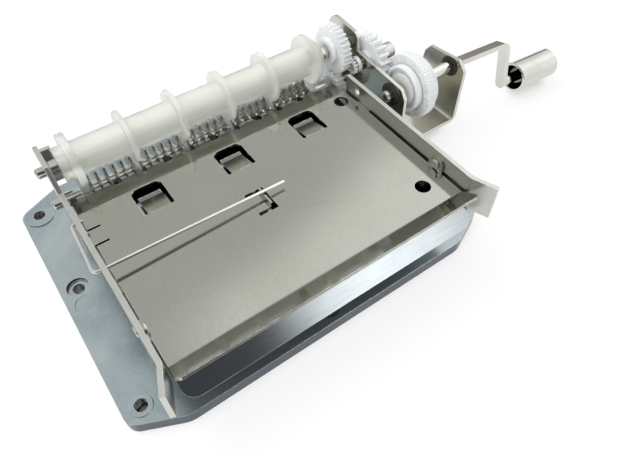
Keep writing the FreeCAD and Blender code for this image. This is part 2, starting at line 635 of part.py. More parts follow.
def sideStrip(body, side, rearY):
    """The long guide with its outward flare at the strip's mouth."""
    middleX = (sideInner + size.sideThick / 2) * side
    mouthY = size.coverFrontY - 0.8
    path = [(middleX + size.flareSpread * side, mouthY - size.flareRun), (middleX, mouthY), (middleX, rearY)]
    sketch = makeSketch(body, "XY_Plane", foldedOutline(path, size.sideThick, size.flareBend), guideFoot)
    pad(body, sketch, size.sideRise + size.sideDrop)


def sideWallStart(side):
    return -sideOuter if side < 0 else sideInner


def sideCuts(body, side, wide):
    """Tab slots for both plates and the rivet hole, cut along X through the side plate."""
    play = size.slotPlay
    slots = [rectangle(front - play, floorUnder - play, front + size.tabLength + play, floorTop + play)
             for front in (size.tabFrontY, size.tabRearY)]
    slots.append(rectangle(size.coverTabY - play, coverUnder - play,
                           size.coverTabY + size.tabLength + play, size.plateTop + play))
    start = sideWallStart(side) + size.sideThick
    pocket(body, polygonSketch(body, "YZ_Plane", slots, start), size.sideThick)
    holes = [(rivetY, rivetZ, size.rivetRadius), (size.wireHoleY, wireHoleZ, size.wireHoleRadius)]
    pocket(body, circleSketch(body, "YZ_Plane", holes + wide, start), size.sideThick)


wireHoleZ = size.plateTop + size.wireHoleRise


def feet(body, side, spans):
    """Feet bent inwards at the bottom of each leg, flat on the base, each with a screw hole."""
    low, high = (-sideInner, -sideInner + size.footReach)
    if side > 0:
        low, high = (sideInner - size.footReach, sideInner)
    outlines = [rectangle(low, front, high, rear) for front, rear in spans]
    pad(body, polygonSketch(body, "XY_Plane", outlines, size.baseThick), size.footThick)
    bore = size.footScrewRadius + size.screwPlay
    holes = [(footMiddleX * side, (front + rear) / 2, bore) for front, rear in spans]
    top = size.baseThick + size.footThick
    pocket(body, circleSketch(body, "XY_Plane", holes, top), size.footThick)


def buildLeftSide():
    body = makeBody("left_side_plate")
    sideStrip(body, -1, size.uprightFrontY + 2.0)
    legFront = rectangle(size.legFrontY, size.baseThick, size.legFrontY + size.legLength, guideFoot)
    front = size.uprightFrontY
    rear = size.uprightRearY
    top = size.plateTop + size.uprightRise
    upright = [(front, size.baseThick), (rear, size.baseThick), (rear, top), (front + size.uprightSlant, top),
               (front, guideTop)]
    pad(body, polygonSketch(body, "YZ_Plane", [legFront, upright], -sideOuter), size.sideThick)
    roundEdges(body, size.uprightCorner, lambda middle, along, edge:
               abs(along.x) > 0.9 and near(middle.z, top) and near(middle.y, rear))
    feet(body, -1, [(size.legFrontY, size.legFrontY + size.legLength), (front, rear)])
    flange = rectangle(-sideOuter, rear, -sideInner + size.flangeReach, rear + size.sideThick)
    flangeHeight = size.flangeDrop + size.flangeRise
    low = size.plateTop - size.flangeDrop
    pad(body, polygonSketch(body, "XY_Plane", [flange], low), flangeHeight)
    journals = [(size.rollerY, upperZ, size.journalRadius + size.runningPlay),
                (size.rollerY, lowerZ, size.journalRadius + size.runningPlay)]
    sideCuts(body, -1, journals)
    slotLow = size.plateTop + size.wireRise - size.wireSlotWidth / 2
    slot = rectangle(size.wireY - size.wireSlotWidth / 2, slotLow, size.wireY + size.wireSlotWidth / 2,
                     slotLow + size.wireSlotHeight)
    pocket(body, polygonSketch(body, "YZ_Plane", [slot], -sideInner), size.sideThick)


def buildRightSide():
    body = makeBody("right_side_plate")
    sideStrip(body, 1, size.rightSideEndY)
    legs = [rectangle(front, size.baseThick, front + size.legLength, guideFoot)
            for front in (size.legFrontY, size.rightLegY)]
    pad(body, polygonSketch(body, "YZ_Plane", legs, sideInner), size.sideThick)
    feet(body, 1, [(front, front + size.legLength) for front in (size.legFrontY, size.rightLegY)])
    sideCuts(body, 1, [])


def buildBracket():
    body = makeBody("crank_bracket")
    half = size.bracketThick / 2
    front = size.bracketFrontY
    rear = size.bracketRearY
    floorZ = size.baseThick + half
    foldTop = size.baseThick + size.bracketFoldRise
    path = [(size.bracketX + half, foldTop), (size.bracketX + half, floorZ), (earX + half, floorZ),
            (earX + half, foldTop)]
    folded = foldedOutline(path, size.bracketThick, size.bracketBend)
    pad(body, makeSketch(body, "XZ_Plane", folded, -rear), rear - front)
    innerLow = size.baseThick + size.wallStart
    armRear = size.plateTop + size.armRearRise
    armFront = size.plateTop + size.armFrontRise
    towerTop = size.plateTop + size.towerRise
    wall = [(front, innerLow), (size.towerRearY - size.towerTaper, innerLow), (size.towerRearY, size.plateTop),
            (size.towerRearY, towerTop), (size.towerFrontY, towerTop - size.towerSlope),
            (size.towerFrontY, armRear), (size.armTopFrontY, armFront), (front, armFront - size.armNoseDrop)]
    pad(body, polygonSketch(body, "YZ_Plane", [wall], size.bracketX), size.bracketThick)
    roundEdges(body, size.towerRearRound, lambda middle, along, edge:
               abs(along.x) > 0.9 and near(middle.z, towerTop) and near(middle.y, size.towerRearY))
    roundEdges(body, size.towerFrontRound, lambda middle, along, edge:
               abs(along.x) > 0.9 and near(middle.z, towerTop - size.towerSlope)
               and near(middle.y, size.towerFrontY))
    earTop = size.plateTop + size.earTopRise
    ear = [(front, innerLow), (rear, innerLow), (rear - size.earTaper, size.plateTop),
           (rear - size.earShoulderY, size.plateTop + size.earShoulderRise), (front + size.earNoseY, earTop),
           (front, earTop - size.earNoseDrop)]
    pad(body, polygonSketch(body, "YZ_Plane", [ear], earX), size.bracketThick)
    footRear = size.bracketFootY + size.bracketFootLength
    foot = rectangle(size.bracketX - size.bracketFootReach, size.bracketFootY, bracketOuter, footRear)
    pad(body, polygonSketch(body, "XY_Plane", [foot], size.baseThick), size.bracketThick)
    stem = rectangle(size.bracketFootY, size.baseThick, footRear, innerLow + half)
    pad(body, polygonSketch(body, "YZ_Plane", [stem], size.bracketX), size.bracketThick)
    journal = size.journalRadius + size.runningPlay
    bushHole = (crankY, crankZ, size.bushRadius)
    inner = [(size.rollerY, upperZ, journal), (size.rollerY, lowerZ, journal),
             (idlerY, idlerZ, size.idlerShaftRadius + size.runningPlay), bushHole]
    pocket(body, circleSketch(body, "YZ_Plane", inner, bracketOuter), size.bracketThick)
    pocket(body, circleSketch(body, "YZ_Plane", [bushHole], earX + size.bracketThick), size.bracketThick)
    bore = size.footScrewRadius + size.screwPlay
    holes = [(across, along, bore) for across, along in bracketScrewPlaces]
    pocket(body, circleSketch(body, "XY_Plane", holes, size.baseThick + size.bracketThick), size.bracketThick)


def buildBushes():
    """Two flanged bearing bushes for the crank, one in each wall of its bracket."""
    bore = size.crankRadius + size.runningPlay
    thick = size.bushFlangeThick
    inner = makeBody("inner_crank_bush", (0.0, crankY, crankZ))
    revolve(inner, [(size.bracketX - thick, bore), (bracketOuter + thick, bore),
                    (bracketOuter + thick, size.bushRadius), (size.bracketX, size.bushRadius),
                    (size.bracketX, size.bushFlange), (size.bracketX - thick, size.bushFlange)])
    outer = makeBody("outer_crank_bush", (0.0, crankY, crankZ))
    outerFace = earX + size.bracketThick
    lip = size.bushRadius + size.bushLip
    revolve(outer, [(earX - thick, bore), (outerFace + thick, bore), (outerFace + thick, size.bushRadius),
                    (earX, size.bushRadius), (earX, lip), (earX - thick, lip)])


def shaftCorners(leftEnd, leftShoulder, rightShoulder, rightEnd):
    """A shaft with a thinner journal at each end and a small chamfer at each tip."""
    thin = size.journalRadius
    tip = size.journalTip
    return [(leftEnd, 0.0), (leftEnd, thin - tip), (leftEnd + tip, thin), (leftShoulder, thin),
            (leftShoulder, size.shaftRadius), (rightShoulder, size.shaftRadius), (rightShoulder, thin),
            (rightEnd - tip, thin), (rightEnd, thin - tip), (rightEnd, 0.0)]


def buildRollerShafts():
    leftEnd = -(sideOuter + size.journalEnd)
    leftShoulder = -(sideInner - size.shaftShoulder)
    rightShoulder = size.bracketX - size.shaftShoulder
    rightEnd = bracketOuter + size.journalStub
    for label, height in (("upper_shaft", upperZ), ("lower_shaft", lowerZ)):
        body = makeBody(label, (0.0, size.rollerY, height))
        revolve(body, shaftCorners(leftEnd, leftShoulder, rightShoulder, rightEnd))


def buildRoller():
    """The moulded upper roller: a tube on two end hubs, four thin discs and two thick end discs."""
    body = makeBody("upper_roller", (0.0, size.rollerY, upperZ))
    tube = size.tubeRadius
    disc = size.discRadius
    half = size.discThick / 2
    corners = [(-size.tubeHalf, size.shaftRadius), (-size.tubeHalf, tube)]
    ends = [-(size.endDiscInner + size.endDiscThick), size.endDiscInner]
    spans = [(ends[0], ends[0] + size.endDiscThick)]
    spans += [(middle - half, middle + half) for middle in driveDiscPlaces()]
    spans.append((ends[1], ends[1] + size.endDiscThick))
    for low, high in spans:
        corners += [(low, tube), (low, disc), (high, disc), (high, tube)]
    corners += [(size.tubeHalf, tube), (size.tubeHalf, size.shaftRadius)]
    inside = size.tubeHalf - size.tubeHub
    bore = tube - size.tubeWall
    corners += [(inside, size.shaftRadius), (inside, bore), (-inside, bore), (-inside, size.shaftRadius)]
    revolve(body, corners)
    roundEdges(body, size.discRound, lambda middle, along, edge:
               near(math.hypot(middle.y, middle.z), disc) and abs(along.x) < 0.1)
    holes = [(size.discPitch * step, 0.0, size.mouldHoleRadius) for step in (-2, 0, 2)]
    pocket(body, circleSketch(body, "XZ_Plane", holes), tube + 1.0)


def buildDriveDiscs():
    """Six discs pressed on the lower shaft, each under a disc of the roller."""
    discs = []
    outer = float(lowerDiscRadius)
    thin = float(size.lowerDiscThick)
    spans = [(float(middle) - thin / 2, thin) for middle in driveDiscPlaces()]
    spans.append((-float(size.endDiscInner + size.endDiscThick), float(size.endDiscThick)))
    spans.append((float(size.endDiscInner), float(size.endDiscThick)))
    for start, width in sorted(spans):
        foot = Vector(start, float(size.rollerY), float(lowerZ))
        disc = Part.makeCylinder(outer, width, foot, xAxis)
        rims = [edge for edge in disc.Edges if edge.Curve.TypeId == "Part::GeomCircle"]
        disc = disc.makeFillet(float(size.lowerDiscRound), rims)
        discs.append(disc.cut(Part.makeCylinder(float(size.shaftRadius), width, foot, xAxis)))
    addGroup("drive_discs", discs)


def starOutline():
    """A toothed wheel with straight-flanked teeth, the first one pointing up."""
    teeth = size.count("starTeeth")
    tip = float(size.starRadius)
    root = float(size.starRoot)
    tipHalf = float(size.starTipWidth) / 2 / tip
    rootHalf = math.pi / teeth * 0.55
    corners = []
    for index in range(teeth):
        centre = math.pi / 2 + 2 * math.pi * index / teeth
        for radius, offset in ((root, -rootHalf), (tip, -tipHalf), (tip, tipHalf), (root, rootHalf)):
            corners.append(Vector(radius * math.cos(centre + offset), radius * math.sin(centre + offset), 0))
    total = len(corners)
    return [Part.LineSegment(corners[index], corners[(index + 1) % total]) for index in range(total)]


def buildStarWheels():
    outline = starOutline()
    for index in range(noteCount):
        body = makeBody("star_wheel_%02d" % (index + 1), (notePlace(index), size.rollerY, lowerZ))
        pad(body, makeSketch(body, "YZ_Plane", outline, -size.starThick / 2), size.starThick)
        hub = [(0.0, 0.0, size.starHubRadius)]
        pad(body, circleSketch(body, "YZ_Plane", hub, -size.starHubWidth / 2), size.starHubWidth)
        bore = [(0.0, 0.0, size.shaftRadius + size.runningPlay)]
        pocket(body, circleSketch(body, "YZ_Plane", bore, size.starHubWidth / 2), size.starHubWidth)


def gearPad(body, teethAlias, module, phase, start, width, bore):
    outline = gearOutline(size.count(teethAlias), float(module), float(size.backlash), phase, bore)
    pad(body, makeSketch(body, "YZ_Plane", outline, start), width)


def ringPad(body, start, length, outer, inner):
    """A plain round boss about the body's axis with a hole through it."""
    pad(body, circleSketch(body, "YZ_Plane", [(0.0, 0.0, outer), (0.0, 0.0, inner)], start), length)


def buildFineGears():
    bore = size.shaftRadius
    upper = makeBody("upper_roller_gear", (0.0, size.rollerY, upperZ))
    gearPad(upper, "upperTeeth", size.fineModule, 0.0, size.fineGearX, size.fineGearWidth, bore)
    stepStart = size.fineGearX + size.fineGearWidth
    gearPad(upper, "stepTeeth", size.stepModule, 0.0, stepStart, size.stepWidth, bore)
    ringPad(upper, size.fineGearX - size.gearHubLength, size.gearHubLength, size.tubeRadius - size.gearHubStep,
            bore)
    lower = makeBody("lower_roller_gear", (0.0, size.rollerY, lowerZ))
    gearPad(lower, "lowerTeeth", size.fineModule, lowerGearPhase, size.fineGearX, size.fineGearWidth, bore)
    pinion = makeBody("idler_pinion", (0.0, idlerY, idlerZ))
    pinionStart = stepStart + size.pinionGap
    gearPad(pinion, "pinionTeeth", size.stepModule, pinionPhase, pinionStart, size.stepWidth,
            size.idlerShaftRadius)
    ringPad(pinion, pinionStart + size.stepWidth, size.pinionBossLength, size.pinionBossRadius,
            size.idlerShaftRadius)


def buildIdler():
    """A steel shaft that carries the coarse gear and a long plain collar beyond it."""
    shaft = makeBody("idler_shaft", (0.0, idlerY, idlerZ))
    radius = size.idlerShaftRadius
    start = size.fineGearX + size.fineGearWidth + size.pinionGap
    stub = size.idlerStub
    collarStart = size.idlerGearX + size.idlerGearWidth
    finish = collarStart + size.collarLength + stub
    revolve(shaft, [(start, 0.0), (start, radius), (finish - stub / 2, radius), (finish, radius - stub / 2),
                    (finish, 0.0)])
    gear = makeBody("idler_gear", (0.0, idlerY, idlerZ))
    gearPad(gear, "idlerTeeth", size.coarseModule, idlerPhase, size.idlerGearX, size.idlerGearWidth, radius)
    hubStart = bracketOuter + size.hubPlay
    ringPad(gear, hubStart, size.idlerGearX - hubStart, size.idlerHubRadius, radius)
    collar = makeBody("idler_collar", (0.0, idlerY, idlerZ))
    collarEnd = collarStart + size.collarLength
    outer = size.collarRadius
    chamfer = size.collarRound
    revolve(collar, [(collarStart, radius), (collarStart, outer), (collarEnd - chamfer, outer),
                     (collarEnd, outer - chamfer), (collarEnd, radius)])


def buildCrankGear():
    """The driving gear with a larger toothed disc and a plain boss beyond it, recessed on both faces."""
    body = makeBody("crank_gear", (0.0, crankY, crankZ))
    start = size.crankGearX
    bore = size.crankRadius
    discStart = start + size.crankGearWidth
    bossStart = discStart + size.crankDiscWidth
    finish = bossStart + size.crankBossLength
    gearPad(body, "crankTeeth", size.coarseModule, crankPhase, start, size.crankGearWidth, bore)
    gearPad(body, "crankDiscTeeth", size.coarseModule, crankPhase, discStart, size.crankDiscWidth, bore)
    ringPad(body, bossStart, size.crankBossLength, size.crankBossRadius, bore)
    for face, rim in ((start + size.gearRecess, size.crankRimRadius), (finish, size.bossRimRadius)):
        ring = [(0.0, 0.0, rim), (0.0, 0.0, size.crankHubRadius)]
        pocket(body, circleSketch(body, "YZ_Plane", ring, face), size.gearRecess)


# The crank is drawn about its own X axis with the arm hanging along -Z, then leaned to its rest angle.
droop = math.radians(float(size.crankDroop))
crankPlace = FreeCAD.Placement(Vector(0, crankY, crankZ), FreeCAD.Rotation(xAxis, -float(size.crankLean)))
strapRun = float(size.elbowX - size.kinkX)
elbow = Vector(float(size.elbowX), 0, -strapRun * math.tan(droop))
outward = Vector(math.cos(droop), 0, -math.sin(droop))
downward = Vector(-math.sin(droop), 0, -math.cos(droop))
pinPoint = elbow + downward * float(size.crankThrow)
pinTurn = FreeCAD.Rotation(Vector(0, 1, 0), float(size.crankDroop))
pinPlace = crankPlace.multiply(FreeCAD.Placement(pinPoint, pinTurn))
armHalf = size.strapThick / 2


def buildCrank():
    body = makeBody("crank")
    radius = size.crankRadius
    inner = size.crankInnerX
    flatStart = size.kinkX - 0.5
    dome = size.crankDome
    revolve(body, [(inner, 0.0), (inner, radius * 0.4), (inner + dome * 0.35, radius * 0.8),
                   (inner + dome, radius), (flatStart, radius), (flatStart, 0.0)])
    finish = pinPoint + downward * float(size.strapWidth) / 2
    kink = float(size.kinkX)
    path = [(kink - 0.9, 0.0), (kink, 0.0), (elbow.x, elbow.z), (finish.x, finish.z)]
    sketch = makeSketch(body, "XZ_Plane", foldedOutline(path, size.strapThick, size.strapBend),
                        -size.strapWidth / 2)
    pad(body, sketch, size.strapWidth)
    tipRound = size.strapWidth * 0.48
    roundEdges(body, tipRound, lambda middle, along, edge:
               edge.Length < float(size.strapThick) + 0.1 and (middle - finish).Length < float(size.strapWidth)
               and near(abs(middle.y), size.strapWidth / 2) and abs(along.dot(outward)) > 0.9)
    body.Placement = crankPlace


def buildKnob():
    """A hollow turned knob, open towards the crank arm, that spins on a riveted pin."""
    mouth = armHalf + size.knobGap
    finish = mouth + size.knobLength
    wall = size.knobWall
    radius = size.knobRadius
    bore = size.pinRadius + size.runningPlay
    endWall = size.knobWall * 2
    rounding = size.knobRound
    knob = makeBody("crank_knob")
    revolve(knob, [(mouth, radius - wall), (mouth, radius), (finish - rounding, radius),
                   (finish, radius - rounding), (finish, bore),
                   (finish - endWall - size.knobHubLength, bore),
                   (finish - endWall - size.knobHubLength, size.knobHubRadius),
                   (finish - endWall, size.knobHubRadius), (finish - endWall, radius - wall)])
    roundEdges(knob, 0.2, lambda middle, along, edge:
               near(middle.x, mouth) and near(math.hypot(middle.y, middle.z), radius) and abs(along.x) < 0.1)
    knob.Placement = pinPlace
    pin = makeBody("knob_pin")
    head = size.pinHeadRadius
    headLength = size.pinHeadLength
    shoulder = finish - endWall - size.knobHubLength - size.knobPlay
    thick = size.pinRadius + size.pinCollar
    under = finish + size.pinHeadGap
    top = under + headLength
    revolve(pin, [(armHalf, 0.0), (armHalf, thick), (shoulder, thick), (shoulder, size.pinRadius),
                  (under, size.pinRadius), (under, head), (under + headLength / 2, head),
                  (top, head - headLength / 2), (top, 0.0)])
    pin.Placement = pinPlace


def roundedPath(points, bends):
    """Straight runs joined by tangent arcs, one bend radius for each corner in space."""
    edges = []
    cursor = points[0]
    for before, corner, after, bend in zip(points, points[1:], points[2:], bends):
        arriving = (corner - before).normalize()
        leaving = (after - corner).normalize()
        turn = arriving.getAngle(leaving)
        setback = bend * math.tan(turn / 2)
        start = corner - arriving * setback
        finish = corner + leaving * setback
        bisector = (leaving - arriving).normalize()
        centre = corner + bisector * (bend / math.cos(turn / 2))
        middle = centre - bisector * bend
        edges.append(Part.LineSegment(cursor, start).toShape())
        edges.append(Part.Arc(start, middle, finish).toShape())
        cursor = finish
    edges.append(Part.LineSegment(cursor, points[-1]).toShape())
    return Part.Wire(edges)


def buildTensionWire():
    """A bent spring wire: hooked in the left side plate, along its outside, back through over the cover."""
    outerX = -float(sideOuter)
    holeY = float(size.wireHoleY)
    holeZ = float(wireHoleZ)
    armZ = float(size.plateTop + size.wireRise)
    legX = outerX - float(size.wireBow)
    innerEnd = -float(sideInner) + float(size.wireHookReach)
    anchorX = outerX - float(size.wireStandOff)
    points = [Vector(innerEnd, holeY, holeZ), Vector(anchorX, holeY, holeZ),
              Vector(legX, float(size.wireY), armZ),
              Vector(float(size.wireTipX), float(size.wireY), float(size.plateTop + size.wireTipRise))]
    path = roundedPath(points, [float(size.wireHookBend), float(size.wireBend)])
    start = points[0]
    profile = Part.Wire(Part.Circle(start, points[1] - start, float(size.wireRadius)).toShape())
    solid = path.makePipeShell([profile], True, True)
    length = path.Length
    expected = length * math.pi * float(size.wireRadius) ** 2
    print("tension wire: length %.2f, volume %.3f, section times length %.3f" % (length, solid.Volume, expected))
    addPiece("tension_wire", solid)
    hinge = (points[2] - points[1]).normalize()
    print("wire hinge through %.4f %.4f %.4f along %.6f %.6f %.6f" % (*points[1], *hinge))


buildBase()
buildComb()
buildScrews("comb_screws", [(size.combScrewX * side, combScrewY) for side in (-1, 0, 1)], combTop,
            size.combBodyThick + size.combScrewDepth - size.tipGap, size.combScrewRadius,
            size.combHeadRadius, size.combHeadHeight)
buildScrews("side_plate_screws", sideScrewPlaces, size.baseThick + size.footThick,
            size.footThick + size.baseThick - size.tipGap, size.footScrewRadius, size.footHeadRadius,
            size.footHeadHeight)
buildFloor()
buildCover()
buildLeftSide()
buildRightSide()
buildRivets()
buildBracket()
buildScrews("bracket_screws", bracketScrewPlaces, size.baseThick + size.bracketThick,
            size.bracketThick + size.baseThick - size.tipGap, size.footScrewRadius, size.footHeadRadius,
            size.footHeadHeight)
buildBushes()
buildRollerShafts()
buildRoller()
buildDriveDiscs()
buildStarWheels()
buildFineGears()
buildIdler()
buildCrankGear()
buildCrank()
buildKnob()
buildTensionWire()

doc.recompute()
for item in doc.Objects:
    if "Invalid" in item.State or "Error" in item.State:
        raise RuntimeError("%s failed: %s" % (item.Label, item.State))
for piece in pieces:
    if piece.Shape.isNull() or not piece.Shape.isValid():
        raise RuntimeError("%s has no valid shape" % piece.Label)

os.makedirs("parts", exist_ok=True)
for piece in pieces:
    piece.Shape.exportStep("parts/%s.step" % piece.Label)
    print("%-20s solids %d, volume %.2f" % (piece.Label, len(piece.Shape.Solids), piece.Shape.Volume))
print("idler axis %.4f %.4f, crank axis %.4f %.4f" % (idlerY, idlerZ, crankY, crankZ))
pinWorld = crankPlace.multVec(pinPoint)
axisWorld = pinPlace.Rotation.multVec(xAxis)
print("knob axis through %.4f %.4f %.4f along %.6f %.6f %.6f" % (*pinWorld, *axisWorld))
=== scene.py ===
import math
import bpy
import bmesh
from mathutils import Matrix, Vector


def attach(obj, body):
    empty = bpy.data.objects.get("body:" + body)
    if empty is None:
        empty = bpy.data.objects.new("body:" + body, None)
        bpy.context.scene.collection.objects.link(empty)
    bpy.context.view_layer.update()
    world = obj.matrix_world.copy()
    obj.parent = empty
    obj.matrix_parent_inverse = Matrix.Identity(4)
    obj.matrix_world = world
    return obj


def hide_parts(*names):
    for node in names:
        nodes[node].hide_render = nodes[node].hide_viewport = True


# Looks for a hand-cranked paper strip music box. Everything is in metres, in the frame of the solids.

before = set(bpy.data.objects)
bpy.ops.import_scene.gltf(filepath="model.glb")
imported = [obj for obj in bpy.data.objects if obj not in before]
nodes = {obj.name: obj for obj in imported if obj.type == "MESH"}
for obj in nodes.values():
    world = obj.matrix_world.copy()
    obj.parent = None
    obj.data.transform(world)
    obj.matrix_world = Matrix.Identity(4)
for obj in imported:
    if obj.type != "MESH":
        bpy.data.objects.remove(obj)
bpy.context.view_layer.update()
scene = bpy.context.scene
mm = 0.001
print("solids loaded:", len(nodes), "nodes")


# Nodes and sockets

def addNode(tree, kind, **settings):
    node = tree.nodes.new(kind)
    for name, value in settings.items():
        if name in node.inputs:
            node.inputs[name].default_value = value
        else:
            setattr(node, name, value)
    return node


def join(tree, *pairs):
    for source, target in pairs:
        tree.links.new(source, target)


def newGroup(name, vectors, numbers, outputs):
    group = bpy.data.node_groups.new(name, "ShaderNodeTree")
    for labels, way, kind in ((vectors, "INPUT", "NodeSocketVector"), (numbers, "INPUT", "NodeSocketFloat"),
                              (outputs, "OUTPUT", "NodeSocketFloat")):
        for label in labels:
            group.interface.new_socket(label, in_out=way, socket_type=kind)
    return group, group.nodes.new("NodeGroupInput"), group.nodes.new("NodeGroupOutput")


def mathNode(tree, operation, first, second=None):
    node = tree.nodes.new("ShaderNodeMath")
    node.operation = operation
    for index, value in enumerate((first, second)):
        if isinstance(value, (int, float)):
            node.inputs[index].default_value = value
        elif value is not None:
            tree.links.new(value, node.inputs[index])
    return node.outputs[0]


def mapRange(tree, value, low, high, toLow=0.0, toHigh=1.0):
    node = tree.nodes.new("ShaderNodeMapRange")
    tree.links.new(value, node.inputs["Value"])
    for label, number in (("From Min", low), ("From Max", high), ("To Min", toLow), ("To Max", toHigh)):
        node.inputs[label].default_value = number
    return node.outputs["Result"]


# Each span names the two ends of a measure that are spread over nought to one
grainLook = {"lineDetail": 3.0, "lineRoughness": 0.6, "lineSpan": (0.3, 0.7),
             "cloudDetail": 4.0, "cloudRoughness": 0.55, "cloudSpan": (0.35, 0.65)}
edgeLook = {"reach": 0.00025, "samples": 4, "cornerSpan": (0.995, 0.85),
            "breakScale": 900.0, "breakDetail": 2.0, "breakSpan": (0.3, 0.6)}
skinLook = {"grainDetail": 3.0, "grainRoughness": 0.65, "flowDetail": 5.0, "flowRoughness": 0.6,
            "flowDistortion": 0.6, "flowSpan": (0.3, 0.7), "pitSpan": (0.0, 0.22)}


# Brushed or rolled metal: long fine lines and slow cloudiness
def buildGrainGroup():
    group, start, end = newGroup("rolledGrain", ["Vector", "Stretch"], ["Fine Scale", "Cloud Scale", "Line Share"],
                                 ["Shade", "Height"])
    stretched = addNode(group, "ShaderNodeVectorMath", operation="MULTIPLY")
    fine = addNode(group, "ShaderNodeTexNoise", Detail=grainLook["lineDetail"],
                   Roughness=grainLook["lineRoughness"])
    cloud = addNode(group, "ShaderNodeTexNoise", Detail=grainLook["cloudDetail"],
                    Roughness=grainLook["cloudRoughness"])
    join(group,
         (start.outputs["Vector"], stretched.inputs[0]), (start.outputs["Stretch"], stretched.inputs[1]),
         (stretched.outputs[0], fine.inputs["Vector"]), (start.outputs["Fine Scale"], fine.inputs["Scale"]),
         (start.outputs["Vector"], cloud.inputs["Vector"]), (start.outputs["Cloud Scale"], cloud.inputs["Scale"]))
    lines = mapRange(group, fine.outputs["Fac"], *grainLook["lineSpan"])
    soft = mapRange(group, cloud.outputs["Fac"], *grainLook["cloudSpan"])
    shareLeft = mathNode(group, "SUBTRACT", 1.0, start.outputs["Line Share"])
    mixed = mathNode(group, "ADD", mathNode(group, "MULTIPLY", lines, start.outputs["Line Share"]),
                     mathNode(group, "MULTIPLY", soft, shareLeft))
    join(group, (mixed, end.inputs["Shade"]), (fine.outputs["Fac"], end.inputs["Height"]))
    return group


# Bare bright metal where a corner has been rubbed, which also stands as a painted highlight along the edges
def buildEdgeGroup():
    group, start, end = newGroup("edgeRub", ["Vector"], ["Strength"], ["Mask"])
    rounded = addNode(group, "ShaderNodeBevel", samples=edgeLook["samples"], Radius=edgeLook["reach"])
    geometry = group.nodes.new("ShaderNodeNewGeometry")
    compare = addNode(group, "ShaderNodeVectorMath", operation="DOT_PRODUCT")
    breakUp = addNode(group, "ShaderNodeTexNoise", Scale=edgeLook["breakScale"], Detail=edgeLook["breakDetail"])
    join(group, (rounded.outputs[0], compare.inputs[0]), (geometry.outputs["True Normal"], compare.inputs[1]),
         (start.outputs["Vector"], breakUp.inputs["Vector"]))
    corner = mapRange(group, compare.outputs["Value"], *edgeLook["cornerSpan"])
    broken = mapRange(group, breakUp.outputs["Fac"], *edgeLook["breakSpan"])
    mask = mathNode(group, "MULTIPLY", mathNode(group, "MULTIPLY", corner, broken), start.outputs["Strength"])
    join(group, (mask, end.inputs["Mask"]))
    return group


# Cast or moulded skin: fine pits and broad unevenness
def buildSkinGroup():
    group, start, end = newGroup("castSkin", ["Vector"], ["Grain Scale", "Flow Scale", "Pit Scale"],
                                 ["Grain", "Flow", "Pits"])
    grain = addNode(group, "ShaderNodeTexNoise", Detail=skinLook["grainDetail"],
                    Roughness=skinLook["grainRoughness"])
    flow = addNode(group, "ShaderNodeTexNoise", Detail=skinLook["flowDetail"],
                   Roughness=skinLook["flowRoughness"], Distortion=skinLook["flowDistortion"])
    pits = addNode(group, "ShaderNodeTexVoronoi", feature="F1")
    for node, label in ((grain, "Grain Scale"), (flow, "Flow Scale"), (pits, "Pit Scale")):
        join(group, (start.outputs["Vector"], node.inputs["Vector"]), (start.outputs[label], node.inputs["Scale"]))
    spots = mapRange(group, pits.outputs["Distance"], *skinLook["pitSpan"])
    flowing = mapRange(group, flow.outputs["Fac"], *skinLook["flowSpan"])
    join(group, (grain.outputs["Fac"], end.inputs["Grain"]), (flowing, end.inputs["Flow"]),
         (spots, end.inputs["Pits"]))
    return group


grainGroup = buildGrainGroup()
edgeRubHighlightGroup = buildEdgeGroup()
skinGroup = buildSkinGroup()


def placeGroup(tree, group, coordinates, sockets):
    node = tree.nodes.new("ShaderNodeGroup")
    node.node_tree = group
    join(tree, (coordinates, node.inputs["Vector"]))
    for label, value in sockets.items():
        node.inputs[label].default_value = value
    return node


def mixColour(tree, factor, dark, light):
    node = addNode(tree, "ShaderNodeMix", data_type="RGBA")
    join(tree, (factor, node.inputs["Factor"]))
    for index, colour in ((6, dark), (7, light)):
        if isinstance(colour, tuple):
            node.inputs[index].default_value = (*colour, 1.0)
        else:
            join(tree, (colour, node.inputs[index]))
    return node.outputs[2]


def startMaterial(name):
    material = bpy.data.materials.new(name)
    material.use_nodes = True
    tree = material.node_tree
    coordinates = tree.nodes.new("ShaderNodeTexCoord").outputs["Object"]
    return material, tree, tree.nodes["Principled BSDF"], coordinates


def bumpInto(tree, shader, height, distance):
    bump = addNode(tree, "ShaderNodeBump", Distance=distance, Strength=1.0)
    join(tree, (height, bump.inputs["Height"]), (bump.outputs["Normal"], shader.inputs["Normal"]))


def metalFinish(name, values):
    material, tree, shader, coordinates = startMaterial(name)
    shader.inputs["Metallic"].default_value = 1.0
    grain = placeGroup(tree, grainGroup, coordinates, {
        "Stretch": values["stretch"], "Fine Scale": values["fineScale"], "Cloud Scale": values["cloudScale"],
        "Line Share": values["lineShare"]})
    edge = placeGroup(tree, edgeRubHighlightGroup, coordinates, {"Strength": values["edgeStrength"]})
    body = mixColour(tree, grain.outputs["Shade"], values["dark"], values["light"])
    # Painted shade: what is bent down below the sheet gets a darker colour, by height
    if "sunk" in values:
        place = tree.nodes.new("ShaderNodeSeparateXYZ")
        join(tree, (coordinates, place.inputs[0]))
        low = mapRange(tree, place.outputs[2], *values["sunkSpan"])
        body = mixColour(tree, low, body, values["sunk"])
    # Rubbed corners in bare bright metal, partly a painted highlight along the edges
    colour = mixColour(tree, edge.outputs["Mask"], body, values["edge"])
    rough = mapRange(tree, grain.outputs["Shade"], 0.0, 1.0, values["roughHigh"], values["roughLow"])
    join(tree, (colour, shader.inputs["Base Color"]), (rough, shader.inputs["Roughness"]))
    bumpInto(tree, shader, grain.outputs["Height"], values["bump"])
    return material


axes = {"right": (1.0, 0.0, 0.0), "back": (0.0, 1.0, 0.0), "up": (0.0, 0.0, 1.0)}


